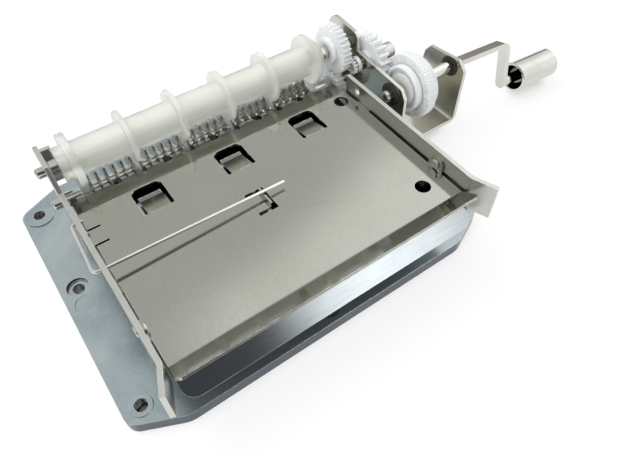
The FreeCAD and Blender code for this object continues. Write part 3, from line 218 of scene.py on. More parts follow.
# How far a direction or a normal turns towards another
def facing(tree, direction, towards):
    node = addNode(tree, "ShaderNodeVectorMath", operation="DOT_PRODUCT")
    node.inputs[1].default_value = Vector(towards).normalized()
    join(tree, (direction, node.inputs[0]))
    return node.outputs["Value"]


def placeSkin(tree, coordinates, values):
    return placeGroup(tree, skinGroup, coordinates, {
        "Grain Scale": values["grainScale"], "Flow Scale": values["flowScale"], "Pit Scale": values["pitScale"]})


# Painted shade: bright on top, with a much darker colour painted down its walls by the way a face points
def castFinish(name, values):
    material, tree, shader, coordinates = startMaterial(name)
    shader.inputs["Metallic"].default_value = values["metallic"]
    skin = placeSkin(tree, coordinates, values)
    edge = placeGroup(tree, edgeRubHighlightGroup, coordinates, {"Strength": values["edgeStrength"]})
    normal = tree.nodes.new("ShaderNodeNewGeometry").outputs["True Normal"]
    wall = mapRange(tree, facing(tree, normal, axes["up"]), *values["wallSpan"])
    body = mixColour(tree, skin.outputs["Flow"], values["dark"], values["light"])
    grain = mapRange(tree, skin.outputs["Grain"], *values["grainSpan"], 0.0, values["grainShare"])
    grained = mixColour(tree, grain, body, values["light"])
    walled = mixColour(tree, wall, grained, values["wall"])
    # Rubbed corners in bare bright metal, partly a painted highlight along the edges
    colour = mixColour(tree, edge.outputs["Mask"], walled, values["edge"])
    rough = mapRange(tree, skin.outputs["Flow"], 0.0, 1.0, values["roughHigh"], values["roughLow"])
    pits = mathNode(tree, "MULTIPLY", skin.outputs["Pits"], values["pitShare"])
    height = mathNode(tree, "ADD", skin.outputs["Grain"], pits)
    join(tree, (colour, shader.inputs["Base Color"]), (rough, shader.inputs["Roughness"]))
    bumpInto(tree, shader, height, values["bump"])
    return material


def plasticFinish(name, values):
    material, tree, shader, coordinates = startMaterial(name)
    for label, value in values.items():
        if label in shader.inputs:
            shader.inputs[label].default_value = value
    skin = placeSkin(tree, coordinates, values)
    colour = mixColour(tree, skin.outputs["Flow"], values["dark"], values["light"])
    rough = mapRange(tree, skin.outputs["Flow"], 0.0, 1.0, values["roughLow"], values["roughHigh"])
    join(tree, (colour, shader.inputs["Base Color"]), (rough, shader.inputs["Roughness"]))
    bumpInto(tree, shader, skin.outputs["Grain"], values["bump"])
    return material


milky = {"Subsurface Weight": 0.5, "Subsurface Scale": 0.003, "Subsurface Radius": (1.0, 1.0, 1.0),
         "Transmission Weight": 0.68, "IOR": 1.20, "Coat Weight": 0.40, "Coat Roughness": 0.25,
         "grainScale": 1500.0, "pitScale": 400.0, "roughLow": 0.52, "roughHigh": 0.66, "bump": 0.000002}
finishes = {
    "plate": metalFinish("rolledPlateSteel", {
        "dark": (0.380, 0.390, 0.335), "light": (0.435, 0.447, 0.398), "edge": (0.95, 0.95, 0.93),
        "stretch": (1.0, 0.22, 1.0), "fineScale": 3200.0, "cloudScale": 38.0, "lineShare": 0.5,
        "roughLow": 0.08, "roughHigh": 0.15, "bump": 0.0000005, "edgeStrength": 1.0,
        # Painted shade: the parts bent down below the sheet get this darker colour
        "sunk": (0.165, 0.170, 0.155), "sunkSpan": (18.10 * mm, 17.70 * mm)}),
    "floorPlate": metalFinish("rolledFloorSteel", {
        "dark": (0.365, 0.400, 0.415), "light": (0.435, 0.470, 0.485), "edge": (0.82, 0.84, 0.85),
        "stretch": (0.08, 1.0, 1.0), "fineScale": 2200.0, "cloudScale": 38.0, "lineShare": 0.6,
        "roughLow": 0.09, "roughHigh": 0.17, "bump": 0.0000006, "edgeStrength": 0.7}),
    "guide": metalFinish("guideSteel", {
        "dark": (0.52, 0.52, 0.485), "light": (0.66, 0.66, 0.62), "edge": (0.95, 0.93, 0.87),
        "stretch": (1.0, 0.15, 1.0), "fineScale": 3000.0, "cloudScale": 45.0, "lineShare": 0.5,
        "roughLow": 0.26, "roughHigh": 0.40, "bump": 0.0000008, "edgeStrength": 1.0}),
    "bracket": metalFinish("bracketNickel", {
        "dark": (0.56, 0.55, 0.48), "light": (0.66, 0.65, 0.585), "edge": (0.92, 0.91, 0.86),
        "stretch": (1.0, 1.0, 0.12), "fineScale": 3000.0, "cloudScale": 40.0, "lineShare": 0.45,
        "roughLow": 0.14, "roughHigh": 0.24, "bump": 0.000001, "edgeStrength": 1.0}),
    "comb": metalFinish("groundCombSteel", {
        "dark": (0.36, 0.36, 0.35), "light": (0.48, 0.48, 0.47), "edge": (0.80, 0.80, 0.80),
        "stretch": (0.05, 1.0, 1.0), "fineScale": 3500.0, "cloudScale": 50.0, "lineShare": 0.7,
        "roughLow": 0.16, "roughHigh": 0.30, "bump": 0.0000015, "edgeStrength": 0.9}),
    "screw": metalFinish("screwZincPlate", {
        "dark": (0.45, 0.46, 0.46), "light": (0.58, 0.59, 0.59), "edge": (0.88, 0.88, 0.88),
        "stretch": (1.0, 1.0, 1.0), "fineScale": 3000.0, "cloudScale": 180.0, "lineShare": 0.4,
        "roughLow": 0.14, "roughHigh": 0.26, "bump": 0.000001, "edgeStrength": 1.0}),
    "shaft": metalFinish("turnedShaftSteel", {
        "dark": (0.50, 0.50, 0.47), "light": (0.62, 0.62, 0.59), "edge": (0.92, 0.92, 0.91),
        "stretch": (1.0, 0.05, 0.05), "fineScale": 4000.0, "cloudScale": 120.0, "lineShare": 0.7,
        "roughLow": 0.10, "roughHigh": 0.20, "bump": 0.0000008, "edgeStrength": 1.0}),
    "star": metalFinish("stampedStarSteel", {
        "dark": (0.38, 0.38, 0.345), "light": (0.52, 0.52, 0.48), "edge": (0.90, 0.90, 0.86),
        "stretch": (1.0, 1.0, 1.0), "fineScale": 3500.0, "cloudScale": 300.0, "lineShare": 0.5,
        "roughLow": 0.16, "roughHigh": 0.30, "bump": 0.000001, "edgeStrength": 0.15}),
    "spring": metalFinish("drawnSpringSteel", {
        "dark": (0.66, 0.66, 0.65), "light": (0.82, 0.82, 0.81), "edge": (0.95, 0.95, 0.95),
        "stretch": (0.05, 1.0, 1.0), "fineScale": 5000.0, "cloudScale": 150.0, "lineShare": 0.6,
        "roughLow": 0.08, "roughHigh": 0.16, "bump": 0.0000004, "edgeStrength": 0.5}),
    "chrome": metalFinish("crankChrome", {
        "dark": (0.58, 0.57, 0.53), "light": (0.72, 0.715, 0.68), "edge": (0.95, 0.95, 0.93),
        "stretch": (0.2, 1.0, 1.0), "fineScale": 2500.0, "cloudScale": 80.0, "lineShare": 0.3,
        "roughLow": 0.03, "roughHigh": 0.08, "bump": 0.0000003, "edgeStrength": 0.5}),
    "base": castFinish("castBaseZinc", {
        "metallic": 0.8, "dark": (0.225, 0.300, 0.325), "light": (0.460, 0.515, 0.525),
        # Painted shade: the walls get a far darker colour than the top
        "wall": (0.066, 0.080, 0.098), "wallSpan": (0.75, 0.25), "edge": (0.74, 0.78, 0.79),
        "grainScale": 2200.0, "grainSpan": (0.3, 0.7), "grainShare": 0.35, "flowScale": 48.0,
        "pitScale": 900.0, "pitShare": 0.5, "roughLow": 0.17, "roughHigh": 0.33, "bump": 0.0000022,
        "edgeStrength": 1.0}),
    "roller": plasticFinish("milkyRollerPlastic", {
        **milky, "dark": (0.90, 0.915, 0.86), "light": (0.95, 0.955, 0.91), "flowScale": 70.0}),
    "disc": plasticFinish("milkyDiscPlastic", {
        **milky, "dark": (0.89, 0.915, 0.865), "light": (0.94, 0.955, 0.91), "flowScale": 90.0}),
    "gear": plasticFinish("whiteGearNylon", {
        "dark": (0.68, 0.70, 0.705), "light": (0.75, 0.765, 0.77), "Subsurface Weight": 0.8,
        "Subsurface Scale": 0.002, "Subsurface Radius": (1.0, 1.0, 1.0), "IOR": 1.45,
        "grainScale": 1800.0, "flowScale": 110.0, "pitScale": 500.0,
        "roughLow": 0.34, "roughHigh": 0.46, "bump": 0.000002}),
    "bush": plasticFinish("blackBushAcetal", {
        "dark": (0.012, 0.012, 0.012), "light": (0.03, 0.03, 0.03), "IOR": 1.48,
        "grainScale": 2000.0, "flowScale": 200.0, "pitScale": 600.0,
        "roughLow": 0.24, "roughHigh": 0.36, "bump": 0.000002}),
}
print("finishes:", len(finishes))


meshing = {"weldDistance": 0.0000012, "thinDistance": 0.0000008, "flatAngle": math.radians(0.6),
           "smoothAngle": math.radians(35.0), "cornerAngle": math.radians(40.0), "cornerSegments": 2}


# A copy of a solid's mesh with its facets merged
def mergedMesh(node):
    mesh = nodes[node].data.copy()
    mesh.name = node + "Mesh"
    work = bmesh.new()
    work.from_mesh(mesh)
    bmesh.ops.remove_doubles(work, verts=work.verts, dist=meshing["weldDistance"])
    bmesh.ops.dissolve_degenerate(work, dist=meshing["thinDistance"], edges=work.edges)
    bmesh.ops.dissolve_limit(work, angle_limit=meshing["flatAngle"], verts=work.verts, edges=work.edges)
    bmesh.ops.recalc_face_normals(work, faces=work.faces)
    work.to_mesh(mesh)
    work.free()
    mesh.materials.clear()
    return mesh


def bakeModifiers(thing):
    graph = bpy.context.evaluated_depsgraph_get()
    thing.data.update()
    made = bpy.data.meshes.new_from_object(thing.evaluated_get(graph), depsgraph=graph)
    thing.modifiers.clear()
    thing.data = made


def shadeByAngle(mesh):
    mesh.shade_smooth()
    mesh.set_sharp_from_angle(angle=meshing["smoothAngle"])


def breakEdges(thing, width):
    bevel = thing.modifiers.new("cornerBreak", "BEVEL")
    bevel.width = width
    bevel.segments = meshing["cornerSegments"]
    bevel.limit_method = "ANGLE"
    bevel.angle_limit = meshing["cornerAngle"]
    bevel.harden_normals = True
    bevel.miter_outer = "MITER_ARC"
    # Broad flats stay free of their neighbours' bend
    level = thing.modifiers.new("flatFaces", "WEIGHTED_NORMAL")
    level.mode = "FACE_AREA"
    level.weight = 100
    level.keep_sharp = True
    bakeModifiers(thing)


def handOver(thing, finish, body, node=None):
    thing.data.materials.clear()
    thing.data.materials.append(finishes[finish])
    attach(thing, body)
    if node:
        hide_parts(node)


def dressed(name, mesh, finish, body, node, width):
    thing = bpy.data.objects.new(name, mesh)
    scene.collection.objects.link(thing)
    shadeByAngle(mesh)
    breakEdges(thing, width)
    handOver(thing, finish, body, node)


dressedParts = [
    ("baseCasting", "base_casting", "base", "frame", "base_zinc", 0.18 * mm),
    ("combPlate", "comb", "comb", "frame", "comb_steel", 0.05 * mm),
    ("floorPlate", "floor_plate", "floorPlate", "frame", "plate_steel", 0.07 * mm),
    ("coverPlate", "cover_plate", "plate", "frame", "plate_steel", 0.09 * mm),
    ("leftGuide", "left_side_plate", "guide", "frame", "plate_steel", 0.10 * mm),
    ("rightGuide", "right_side_plate", "guide", "frame", "plate_steel", 0.10 * mm),
    ("earRivets", "ear_rivets", "guide", "frame", "plate_steel", 0.05 * mm),
    ("crankBracket", "crank_bracket", "bracket", "frame", "bracket_nickel", 0.12 * mm),
    ("innerBush", "inner_crank_bush", "bush", "frame", "bush_black", 0.08 * mm),
    ("outerBush", "outer_crank_bush", "bush", "frame", "bush_black", 0.08 * mm),
    ("upperShaft", "upper_shaft", "shaft", "upper_roller_assembly", "shaft_steel", 0.06 * mm),
    ("upperRoller", "upper_roller", "roller", "upper_roller_assembly", "roller_plastic", 0.10 * mm),
    ("upperRollerGear", "upper_roller_gear", "gear", "upper_roller_assembly", "gear_nylon", 0.05 * mm),
    ("lowerShaft", "lower_shaft", "shaft", "lower_roller_assembly", "shaft_steel", 0.06 * mm),
    ("lowerRollerGear", "lower_roller_gear", "gear", "lower_roller_assembly", "gear_nylon", 0.05 * mm),
    ("idlerShaft", "idler_shaft", "shaft", "idler_assembly", "shaft_steel", 0.06 * mm),
    ("idlerPinion", "idler_pinion", "gear", "idler_assembly", "gear_nylon", 0.05 * mm),
    ("idlerGear", "idler_gear", "gear", "idler_assembly", "gear_nylon", 0.06 * mm),
    ("idlerCollar", "idler_collar", "shaft", "idler_assembly", "shaft_steel", 0.08 * mm),
    ("crankArm", "crank", "chrome", "crank_assembly", "crank_chrome", 0.30 * mm),
    ("knobPin", "knob_pin", "chrome", "crank_assembly", "crank_chrome", 0.08 * mm),
    ("crankKnob", "crank_knob", "chrome", "knob_assembly", "crank_chrome", 0.08 * mm),
    ("tensionWire", "tension_wire", "spring", "wire_assembly", "spring_steel", 0.05 * mm),
]
for name, node, finish, body, slot, width in dressedParts:
    dressed(name, mergedMesh(node), finish, body, node, width)
print("dressed parts:", len(dressedParts))


# What repeats is grown by node trees
def newTree(name, sizes):
    tree = bpy.data.node_groups.new(name, "GeometryNodeTree")
    tree.interface.new_socket("Places", in_out="INPUT", socket_type="NodeSocketGeometry")
    for label, value in sizes.items():
        kind = "NodeSocketInt" if isinstance(value, int) else "NodeSocketFloat"
        tree.interface.new_socket(label, in_out="INPUT", socket_type=kind).default_value = value
    tree.interface.new_socket("Finish", in_out="INPUT", socket_type="NodeSocketMaterial")
    tree.interface.new_socket("Geometry", in_out="OUTPUT", socket_type="NodeSocketGeometry")
    start = tree.nodes.new("NodeGroupInput")
    end = tree.nodes.new("NodeGroupOutput")
    return tree, start.outputs, end


def between(tree, low, high, share):
    span = mathNode(tree, "SUBTRACT", high, low)
    return mathNode(tree, "ADD", low, mathNode(tree, "MULTIPLY", span, share))


def isInner(tree, number, middle):
    distance = mathNode(tree, "ABSOLUTE", mathNode(tree, "SUBTRACT", number, middle))
    return mathNode(tree, "LESS_THAN", distance, 1.0)


treeForm = {"toothCorners": 4, "ringRows": 5, "tipMiddle": 1.5, "rimMiddle": 1.5, "rightMiddle": 2.5,
            "ringWeld": 0.000002, "leastHub": 0.000001, "screwSides": 40, "slotReach": 2.4,
            "threadSides": 40, "ridgeSides": 6}


# A grid bent into a ring. Its corners go root, tip, tip, root; its rows go bore left, rim left, rim right,
# bore right and bore left again.
def toothedRing(tree, teeth, tip, root, tipHalf, rootHalf, bore, thick):
    corners, rows = treeForm["toothCorners"], treeForm["ringRows"]
    columns = mathNode(tree, "ADD", mathNode(tree, "MULTIPLY", teeth, corners), 1.0)
    grid = addNode(tree, "GeometryNodeMeshGrid")
    grid.inputs["Vertices Y"].default_value = rows
    join(tree, (columns, grid.inputs["Vertices X"]))
    index = tree.nodes.new("GeometryNodeInputIndex").outputs[0]
    column = mathNode(tree, "FLOOR", mathNode(tree, "DIVIDE", index, rows))
    row = mathNode(tree, "SUBTRACT", index, mathNode(tree, "MULTIPLY", column, rows))
    tooth = mathNode(tree, "FLOOR", mathNode(tree, "DIVIDE", column, corners))
    corner = mathNode(tree, "SUBTRACT", column, mathNode(tree, "MULTIPLY", tooth, corners))
    onTip = isInner(tree, corner, treeForm["tipMiddle"])
    side = mathNode(tree, "SIGN", mathNode(tree, "SUBTRACT", corner, treeForm["tipMiddle"]))
    spread = mathNode(tree, "MULTIPLY", side, between(tree, rootHalf, tipHalf, onTip))
    turn = mathNode(tree, "DIVIDE", mathNode(tree, "MULTIPLY", tooth, 2 * math.pi), teeth)
    angle = mathNode(tree, "ADD", mathNode(tree, "ADD", turn, spread), math.pi / 2)
    outside = isInner(tree, row, treeForm["rimMiddle"])
    radius = between(tree, bore, between(tree, root, tip, onTip), outside)
    right = isInner(tree, row, treeForm["rightMiddle"])
    along = mathNode(tree, "MULTIPLY", mathNode(tree, "SUBTRACT", right, 0.5), thick)
    place = tree.nodes.new("ShaderNodeCombineXYZ")
    join(tree, (along, place.inputs[0]),
         (mathNode(tree, "MULTIPLY", radius, mathNode(tree, "COSINE", angle)), place.inputs[1]),
         (mathNode(tree, "MULTIPLY", radius, mathNode(tree, "SINE", angle)), place.inputs[2]))
    moved = tree.nodes.new("GeometryNodeSetPosition")
    closed = addNode(tree, "GeometryNodeMergeByDistance")
    closed.inputs["Distance"].default_value = treeForm["ringWeld"]
    join(tree, (grid.outputs["Mesh"], moved.inputs["Geometry"]), (place.outputs[0], moved.inputs["Position"]),
         (moved.outputs["Geometry"], closed.inputs["Geometry"]))
    return closed.outputs["Geometry"]


def finishTree(tree, start, end, shape, scale=None, rotation=None):
    placed = tree.nodes.new("GeometryNodeInstanceOnPoints")
    real = tree.nodes.new("GeometryNodeRealizeInstances")
    painted = tree.nodes.new("GeometryNodeSetMaterial")
    join(tree, (start["Places"], placed.inputs["Points"]), (shape, placed.inputs["Instance"]),
         (placed.outputs["Instances"], real.inputs["Geometry"]),
         (real.outputs["Geometry"], painted.inputs["Geometry"]), (start["Finish"], painted.inputs["Material"]),
         (painted.outputs["Geometry"], end.inputs["Geometry"]))
    if scale is not None:
        join(tree, (scale, placed.inputs["Scale"]))
    if rotation is not None:
        join(tree, (rotation, placed.inputs["Rotation"]))


def readPoint(tree, label):
    node = addNode(tree, "GeometryNodeInputNamedAttribute", data_type="FLOAT")
    node.inputs["Name"].default_value = label
    return node.outputs["Attribute"]


# Toothed wheels and plain discs, threaded on the X axis
def buildWheelTree():
    tree, start, end = newTree("wheelRow", {
        "Teeth": 8, "Tip Radius": 4.6 * mm, "Root Radius": 3.3 * mm, "Tip Half": 0.05, "Root Half": 0.2,
        "Bore": 1.75 * mm, "Thick": 0.5 * mm, "Hub Radius": 2.3 * mm, "Hub Width": 0.8 * mm})
    teeth = start["Teeth"]
    plate = toothedRing(tree, teeth, start["Tip Radius"], start["Root Radius"], start["Tip Half"],
                        start["Root Half"], start["Bore"], start["Thick"])
    step = mathNode(tree, "DIVIDE", math.pi / 4, teeth)
    hub = toothedRing(tree, teeth, start["Hub Radius"], start["Hub Radius"], step,
                      mathNode(tree, "MULTIPLY", step, 3.0), start["Bore"], start["Hub Width"])
    hubOn = addNode(tree, "GeometryNodeSwitch", input_type="GEOMETRY")
    both = tree.nodes.new("GeometryNodeJoinGeometry")
    hasHub = mathNode(tree, "GREATER_THAN", start["Hub Width"], treeForm["leastHub"])
    join(tree, (hasHub, hubOn.inputs["Switch"]), (hub, hubOn.inputs["True"]),
         (plate, both.inputs[0]), (hubOn.outputs[0], both.inputs[0]))
    stretch = tree.nodes.new("ShaderNodeCombineXYZ")
    stretch.inputs[1].default_value = 1.0
    stretch.inputs[2].default_value = 1.0
    join(tree, (readPoint(tree, "wide"), stretch.inputs[0]))
    finishTree(tree, start, end, both.outputs[0], scale=stretch.outputs[0])
    return tree


# Pan-head screws, each slot turned its own way
def buildScrewTree():
    tree, start, end = newTree("panScrews", {
        "Shank Radius": 1.0 * mm, "Shank Length": 4.0 * mm, "Head Radius": 1.8 * mm, "Head Height": 0.9 * mm,
        "Slot Width": 0.5 * mm, "Slot Depth": 0.4 * mm, "Turn Seed": 3})

    def cylinder(radius, length, middle):
        node = addNode(tree, "GeometryNodeMeshCylinder")
        node.inputs["Vertices"].default_value = treeForm["screwSides"]
        lift = tree.nodes.new("ShaderNodeCombineXYZ")
        move = tree.nodes.new("GeometryNodeTransform")
        join(tree, (radius, node.inputs["Radius"]), (length, node.inputs["Depth"]),
             (middle, lift.inputs[2]), (node.outputs["Mesh"], move.inputs["Geometry"]),
             (lift.outputs[0], move.inputs["Translation"]))
        return move.outputs["Geometry"]

    shank = cylinder(start["Shank Radius"], start["Shank Length"],
                     mathNode(tree, "MULTIPLY", start["Shank Length"], -0.5))
    sunk = mathNode(tree, "MULTIPLY", start["Head Height"], 0.5)
    head = cylinder(start["Head Radius"], start["Head Height"], sunk)
    whole = addNode(tree, "GeometryNodeMeshBoolean", operation="UNION")
    cutter = addNode(tree, "GeometryNodeMeshCube")
    size = tree.nodes.new("ShaderNodeCombineXYZ")
    lift = tree.nodes.new("ShaderNodeCombineXYZ")
    move = tree.nodes.new("GeometryNodeTransform")
    slotted = addNode(tree, "GeometryNodeMeshBoolean", operation="DIFFERENCE")
    reach = mathNode(tree, "MULTIPLY", start["Head Radius"], treeForm["slotReach"])
    deep = mathNode(tree, "MULTIPLY", start["Slot Depth"], 2.0)
    join(tree, (shank, whole.inputs["Mesh 2"]), (head, whole.inputs["Mesh 2"]),
         (reach, size.inputs[0]), (start["Slot Width"], size.inputs[1]), (deep, size.inputs[2]),
         (start["Head Height"], lift.inputs[2]), (size.outputs[0], cutter.inputs["Size"]),
         (cutter.outputs["Mesh"], move.inputs["Geometry"]), (lift.outputs[0], move.inputs["Translation"]),
         (whole.outputs["Mesh"], slotted.inputs["Mesh 1"]), (move.outputs["Geometry"], slotted.inputs["Mesh 2"]))
    chance = addNode(tree, "FunctionNodeRandomValue", data_type="FLOAT")
    chance.inputs[3].default_value = math.pi
    turn = tree.nodes.new("ShaderNodeCombineXYZ")
    join(tree, (start["Turn Seed"], chance.inputs["Seed"]), (chance.outputs[1], turn.inputs[2]))
    finishTree(tree, start, end, slotted.outputs["Mesh"], rotation=turn.outputs[0])
    return tree


# Turns of thread down each hole of the base
def buildThreadTree():
    tree, start, end = newTree("holeThread", {
        "Hole Radius": 1.35 * mm, "Ridge": 0.1 * mm, "Pitch": 0.45 * mm, "Turns": 6})
    ring = addNode(tree, "GeometryNodeCurvePrimitiveCircle")
    ring.inputs["Resolution"].default_value = treeForm["threadSides"]
    ridge = addNode(tree, "GeometryNodeCurvePrimitiveCircle")
    ridge.inputs["Resolution"].default_value = treeForm["ridgeSides"]
    swept = tree.nodes.new("GeometryNodeCurveToMesh")
    stack = addNode(tree, "GeometryNodeMeshLine")
    step = tree.nodes.new("ShaderNodeCombineXYZ")
    turns = tree.nodes.new("GeometryNodeInstanceOnPoints")
    down = mathNode(tree, "MULTIPLY", start["Pitch"], -1.0)
    join(tree, (start["Hole Radius"], ring.inputs["Radius"]), (start["Ridge"], ridge.inputs["Radius"]),
         (ring.outputs["Curve"], swept.inputs["Curve"]), (ridge.outputs["Curve"], swept.inputs["Profile Curve"]),
         (down, step.inputs[2]), (start["Turns"], stack.inputs["Count"]),
         (step.outputs[0], stack.inputs["Offset"]), (stack.outputs["Mesh"], turns.inputs["Points"]),
         (swept.outputs["Mesh"], turns.inputs["Instance"]))
    finishTree(tree, start, end, turns.outputs["Instances"])
    return tree


# Runs a node tree over points given in millimetres and returns what it makes
def sprout(name, tree, places, values, finish, widths=None):
    mesh = bpy.data.meshes.new(name + "Places")
    mesh.from_pydata([tuple(v * mm for v in place) for place in places], [], [])
    wide = mesh.attributes.new("wide", "FLOAT", "POINT")
    for index in range(len(places)):
        wide.data[index].value = 1.0 if widths is None else widths[index]
    thing = bpy.data.objects.new(name, mesh)
    scene.collection.objects.link(thing)
    maker = thing.modifiers.new("maker", "NODES")
    maker.node_group = tree
    for item in tree.interface.items_tree:
        if item.in_out == "INPUT" and item.name in values:
            maker[item.identifier] = values[item.name]
        if item.in_out == "INPUT" and item.name == "Finish":
            maker[item.identifier] = finishes[finish]
    bakeModifiers(thing)
    work = bmesh.new()
    work.from_mesh(thing.data)
    bmesh.ops.recalc_face_normals(work, faces=work.faces)
    work.to_mesh(thing.data)
    work.free()
    return thing


def grown(name, tree, places, values, finish, body, node=None, widths=None, edge=0.0):
    thing = sprout(name, tree, places, values, finish, widths)
    shadeByAngle(thing.data)
    if edge:
        breakEdges(thing, edge)
    for attribute in list(thing.data.attributes):
        if attribute.name == "wide":
            thing.data.attributes.remove(attribute)
    handOver(thing, finish, body, node)


wheelTree = buildWheelTree()
screwTree = buildScrewTree()
threadTree = buildThreadTree()

lowerAxis = {"y": 19.1, "z": 13.55}
starWheels = {"count": 30, "pitch": 2.0, "edge": 0.04 * mm, "teeth": 8, "tipRadius": 4.6, "tipHalfWidth": 0.25,
              "rootShare": 0.55}
starValues = {"Teeth": starWheels["teeth"], "Tip Radius": starWheels["tipRadius"] * mm, "Root Radius": 3.3 * mm,
              "Tip Half": starWheels["tipHalfWidth"] / starWheels["tipRadius"],
              "Root Half": math.pi / starWheels["teeth"] * starWheels["rootShare"],
              "Bore": 1.75 * mm, "Thick": 0.5 * mm, "Hub Radius": 2.3 * mm, "Hub Width": 0.8 * mm}
for number in range(1, starWheels["count"] + 1):
    label = "star_wheel_%02d" % number
    across = starWheels["pitch"] * (number - (starWheels["count"] + 1) / 2)
    grown("starWheel%02d" % number, wheelTree, [(across, lowerAxis["y"], lowerAxis["z"])], starValues, "star",
          label + "_body", label, edge=starWheels["edge"])
print("star wheels:", starWheels["count"])

# A plain disc is a wheel whose tips are no higher than its roots
driveDiscs = {"places": (-30.35, -18.0, -6.0, 6.0, 18.0, 30.35), "widths": (1.7, 1.0, 1.0, 1.0, 1.0, 1.7),
              "sides": 24, "radius": 3.75 * mm, "edge": 0.15 * mm}
discValues = {"Teeth": driveDiscs["sides"], "Tip Radius": driveDiscs["radius"], "Root Radius": driveDiscs["radius"],
              "Tip Half": math.pi / (4 * driveDiscs["sides"]), "Root Half": 3 * math.pi / (4 * driveDiscs["sides"]),
              "Bore": 1.72 * mm, "Thick": 1.0 * mm, "Hub Width": 0.0}
grown("driveDiscs", wheelTree, [(across, lowerAxis["y"], lowerAxis["z"]) for across in driveDiscs["places"]],
      discValues, "disc", "lower_roller_assembly", "drive_discs", widths=driveDiscs["widths"],
      edge=driveDiscs["edge"])
print("drive discs:", len(driveDiscs["places"]))

# The crank gear as photographed: a smooth drum, and a broad disc with fine ribs round its rim
crankDisc = {"axisY": 0.8072, "axisZ": 18.7739, "left": 46.3 * mm, "right": 50.5 * mm,
             "coreRadius": 7.14 * mm, "drumRight": 50.3 * mm, "drumFrom": 5.4 * mm, "drumRadius": 5.9 * mm,
             "weldDistance": 0.000005, "thinDistance": 0.000004, "edge": 0.05 * mm,
             "ribs": 66, "ribTip": 8.32 * mm, "ribRoot": 8.16 * mm, "ribBore": 5.8 * mm,
             "ribWidth": 2.24 * mm, "ribMiddleX": 49.3, "ribTipShare": 0.35, "ribRootShare": 0.6}


def buildCrankGear():
    mesh = mergedMesh("crank_gear")
    axisY, axisZ = crankDisc["axisY"] * mm, crankDisc["axisZ"] * mm
    for point in mesh.vertices:
        across, up = point.co.y - axisY, point.co.z - axisZ
        reach = math.hypot(across, up)
        inDrum = point.co.x < crankDisc["drumRight"]
        kept = crankDisc["drumFrom"] if inDrum else crankDisc["coreRadius"]
        wanted = crankDisc["drumRadius"] if inDrum else crankDisc["coreRadius"]
        if crankDisc["left"] < point.co.x < crankDisc["right"] and reach > kept:
            point.co.y = axisY + across / reach * wanted
            point.co.z = axisZ + up / reach * wanted
    ribStep = math.pi / crankDisc["ribs"]
    ribs = sprout("crankRibs", wheelTree, [(crankDisc["ribMiddleX"], crankDisc["axisY"], crankDisc["axisZ"])], {
        "Teeth": crankDisc["ribs"], "Tip Radius": crankDisc["ribTip"], "Root Radius": crankDisc["ribRoot"],
        "Tip Half": ribStep * crankDisc["ribTipShare"], "Root Half": ribStep * crankDisc["ribRootShare"],
        "Bore": crankDisc["ribBore"], "Thick": crankDisc["ribWidth"], "Hub Width": 0.0}, "gear")
    work = bmesh.new()
    work.from_mesh(mesh)
    bmesh.ops.remove_doubles(work, verts=work.verts, dist=crankDisc["weldDistance"])
    bmesh.ops.dissolve_degenerate(work, dist=crankDisc["thinDistance"], edges=work.edges)
    work.from_mesh(ribs.data)
    work.to_mesh(mesh)
    work.free()
    bpy.data.objects.remove(ribs)
    dressed("crankGear", mesh, "gear", "crank_assembly", "crank_gear", crankDisc["edge"])


buildCrankGear()
print("crank gear ribs:", crankDisc["ribs"])

combScrew = {"Shank Radius": 1.25 * mm, "Shank Length": 7.5 * mm, "Head Radius": 2.2 * mm, "Head Height": 1.2 * mm,
             "Slot Width": 0.66 * mm, "Slot Depth": 0.54 * mm}
footScrew = {"Shank Radius": 1.0 * mm, "Shank Length": 4.0 * mm, "Head Radius": 1.8 * mm, "Head Height": 0.9 * mm,
             "Slot Width": 0.54 * mm, "Slot Depth": 0.4 * mm}
screwSets = {
    "combScrews": ("comb_screws", combScrew, [(-24.0, -10.95, 14.0), (0.0, -10.95, 14.0), (24.0, -10.95, 14.0)]),
    "sidePlateScrews": ("side_plate_screws", footScrew, [(-32.1, -21.7, 4.4), (-32.1, 17.7, 4.4),
                                                         (32.1, -21.7, 4.4), (32.1, 4.6, 4.4)]),
    "bracketScrews": ("bracket_screws", footScrew, [(40.1, 16.25, 4.4), (40.1, 21.75, 4.4)]),
}
screwFirstSeed, screwEdge = 3, 0.12 * mm
for seed, (name, (node, values, places)) in enumerate(screwSets.items(), start=screwFirstSeed):
    grown(name, screwTree, places, {**values, "Turn Seed": seed}, "screw", "frame", node,
          edge=screwEdge)
print("screw sets:", len(screwSets))

baseThreads = {"places": [(-41.7, -28.7, 3.2), (-41.7, 28.7, 3.2), (41.7, -28.7, 3.2), (41.7, 28.7, 3.2),
                          (-41.7, 4.0, 2.3), (0.0, -32.2, 2.3)],
               "values": {"Hole Radius": 1.35 * mm, "Ridge": 0.16 * mm, "Pitch": 0.42 * mm, "Turns": 6}}
grown("baseThreads", threadTree, baseThreads["places"], baseThreads["values"], "shaft", "frame")
print("threads:", len(baseThreads["places"]))


# Studio
studio = {
    "floorHalf": 3.0, "floorWhite": 0.9, "whiteShare": 0.80, "contactReach": 0.006, "contactSamples": 8,
    "contactSpan": (0.15, 0.65), "worldDiffuse": 0.72,
    "skyLow": 0.78, "skyHigh": 1.15, "skyTowards": (0.80, -0.35, 0.49), "skySpan": (0.45, 0.95),
    "overheadLevel": 0.42, "overheadBack": (0.545, 0.485), "overheadRight": (0.02, 0.17), "overheadUp": (0.5, 0.7),
    "windowLevel": 2.2, "windowTowards": (0.40, -0.80, 0.44), "windowSpan": (0.980, 0.997),
    "horizonShade": (0.15, 0.11, 0.070), "horizonUp": (0.26, 0.10), "horizonBack": (0.0, 0.3),
    "frontShade": (0.09, 0.09, 0.10), "frontTowards": (-0.25, -0.87, 0.42), "frontSpan": (0.74, 0.90),
    "cameraPlace": (-0.037867, -0.080866, 0.108913), "cameraTarget": (0.003167, -0.023434, 0.0185),
    "lens": 32.2, "sensor": 36.0, "clipStart": 0.005, "clipEnd": 20.0,
}
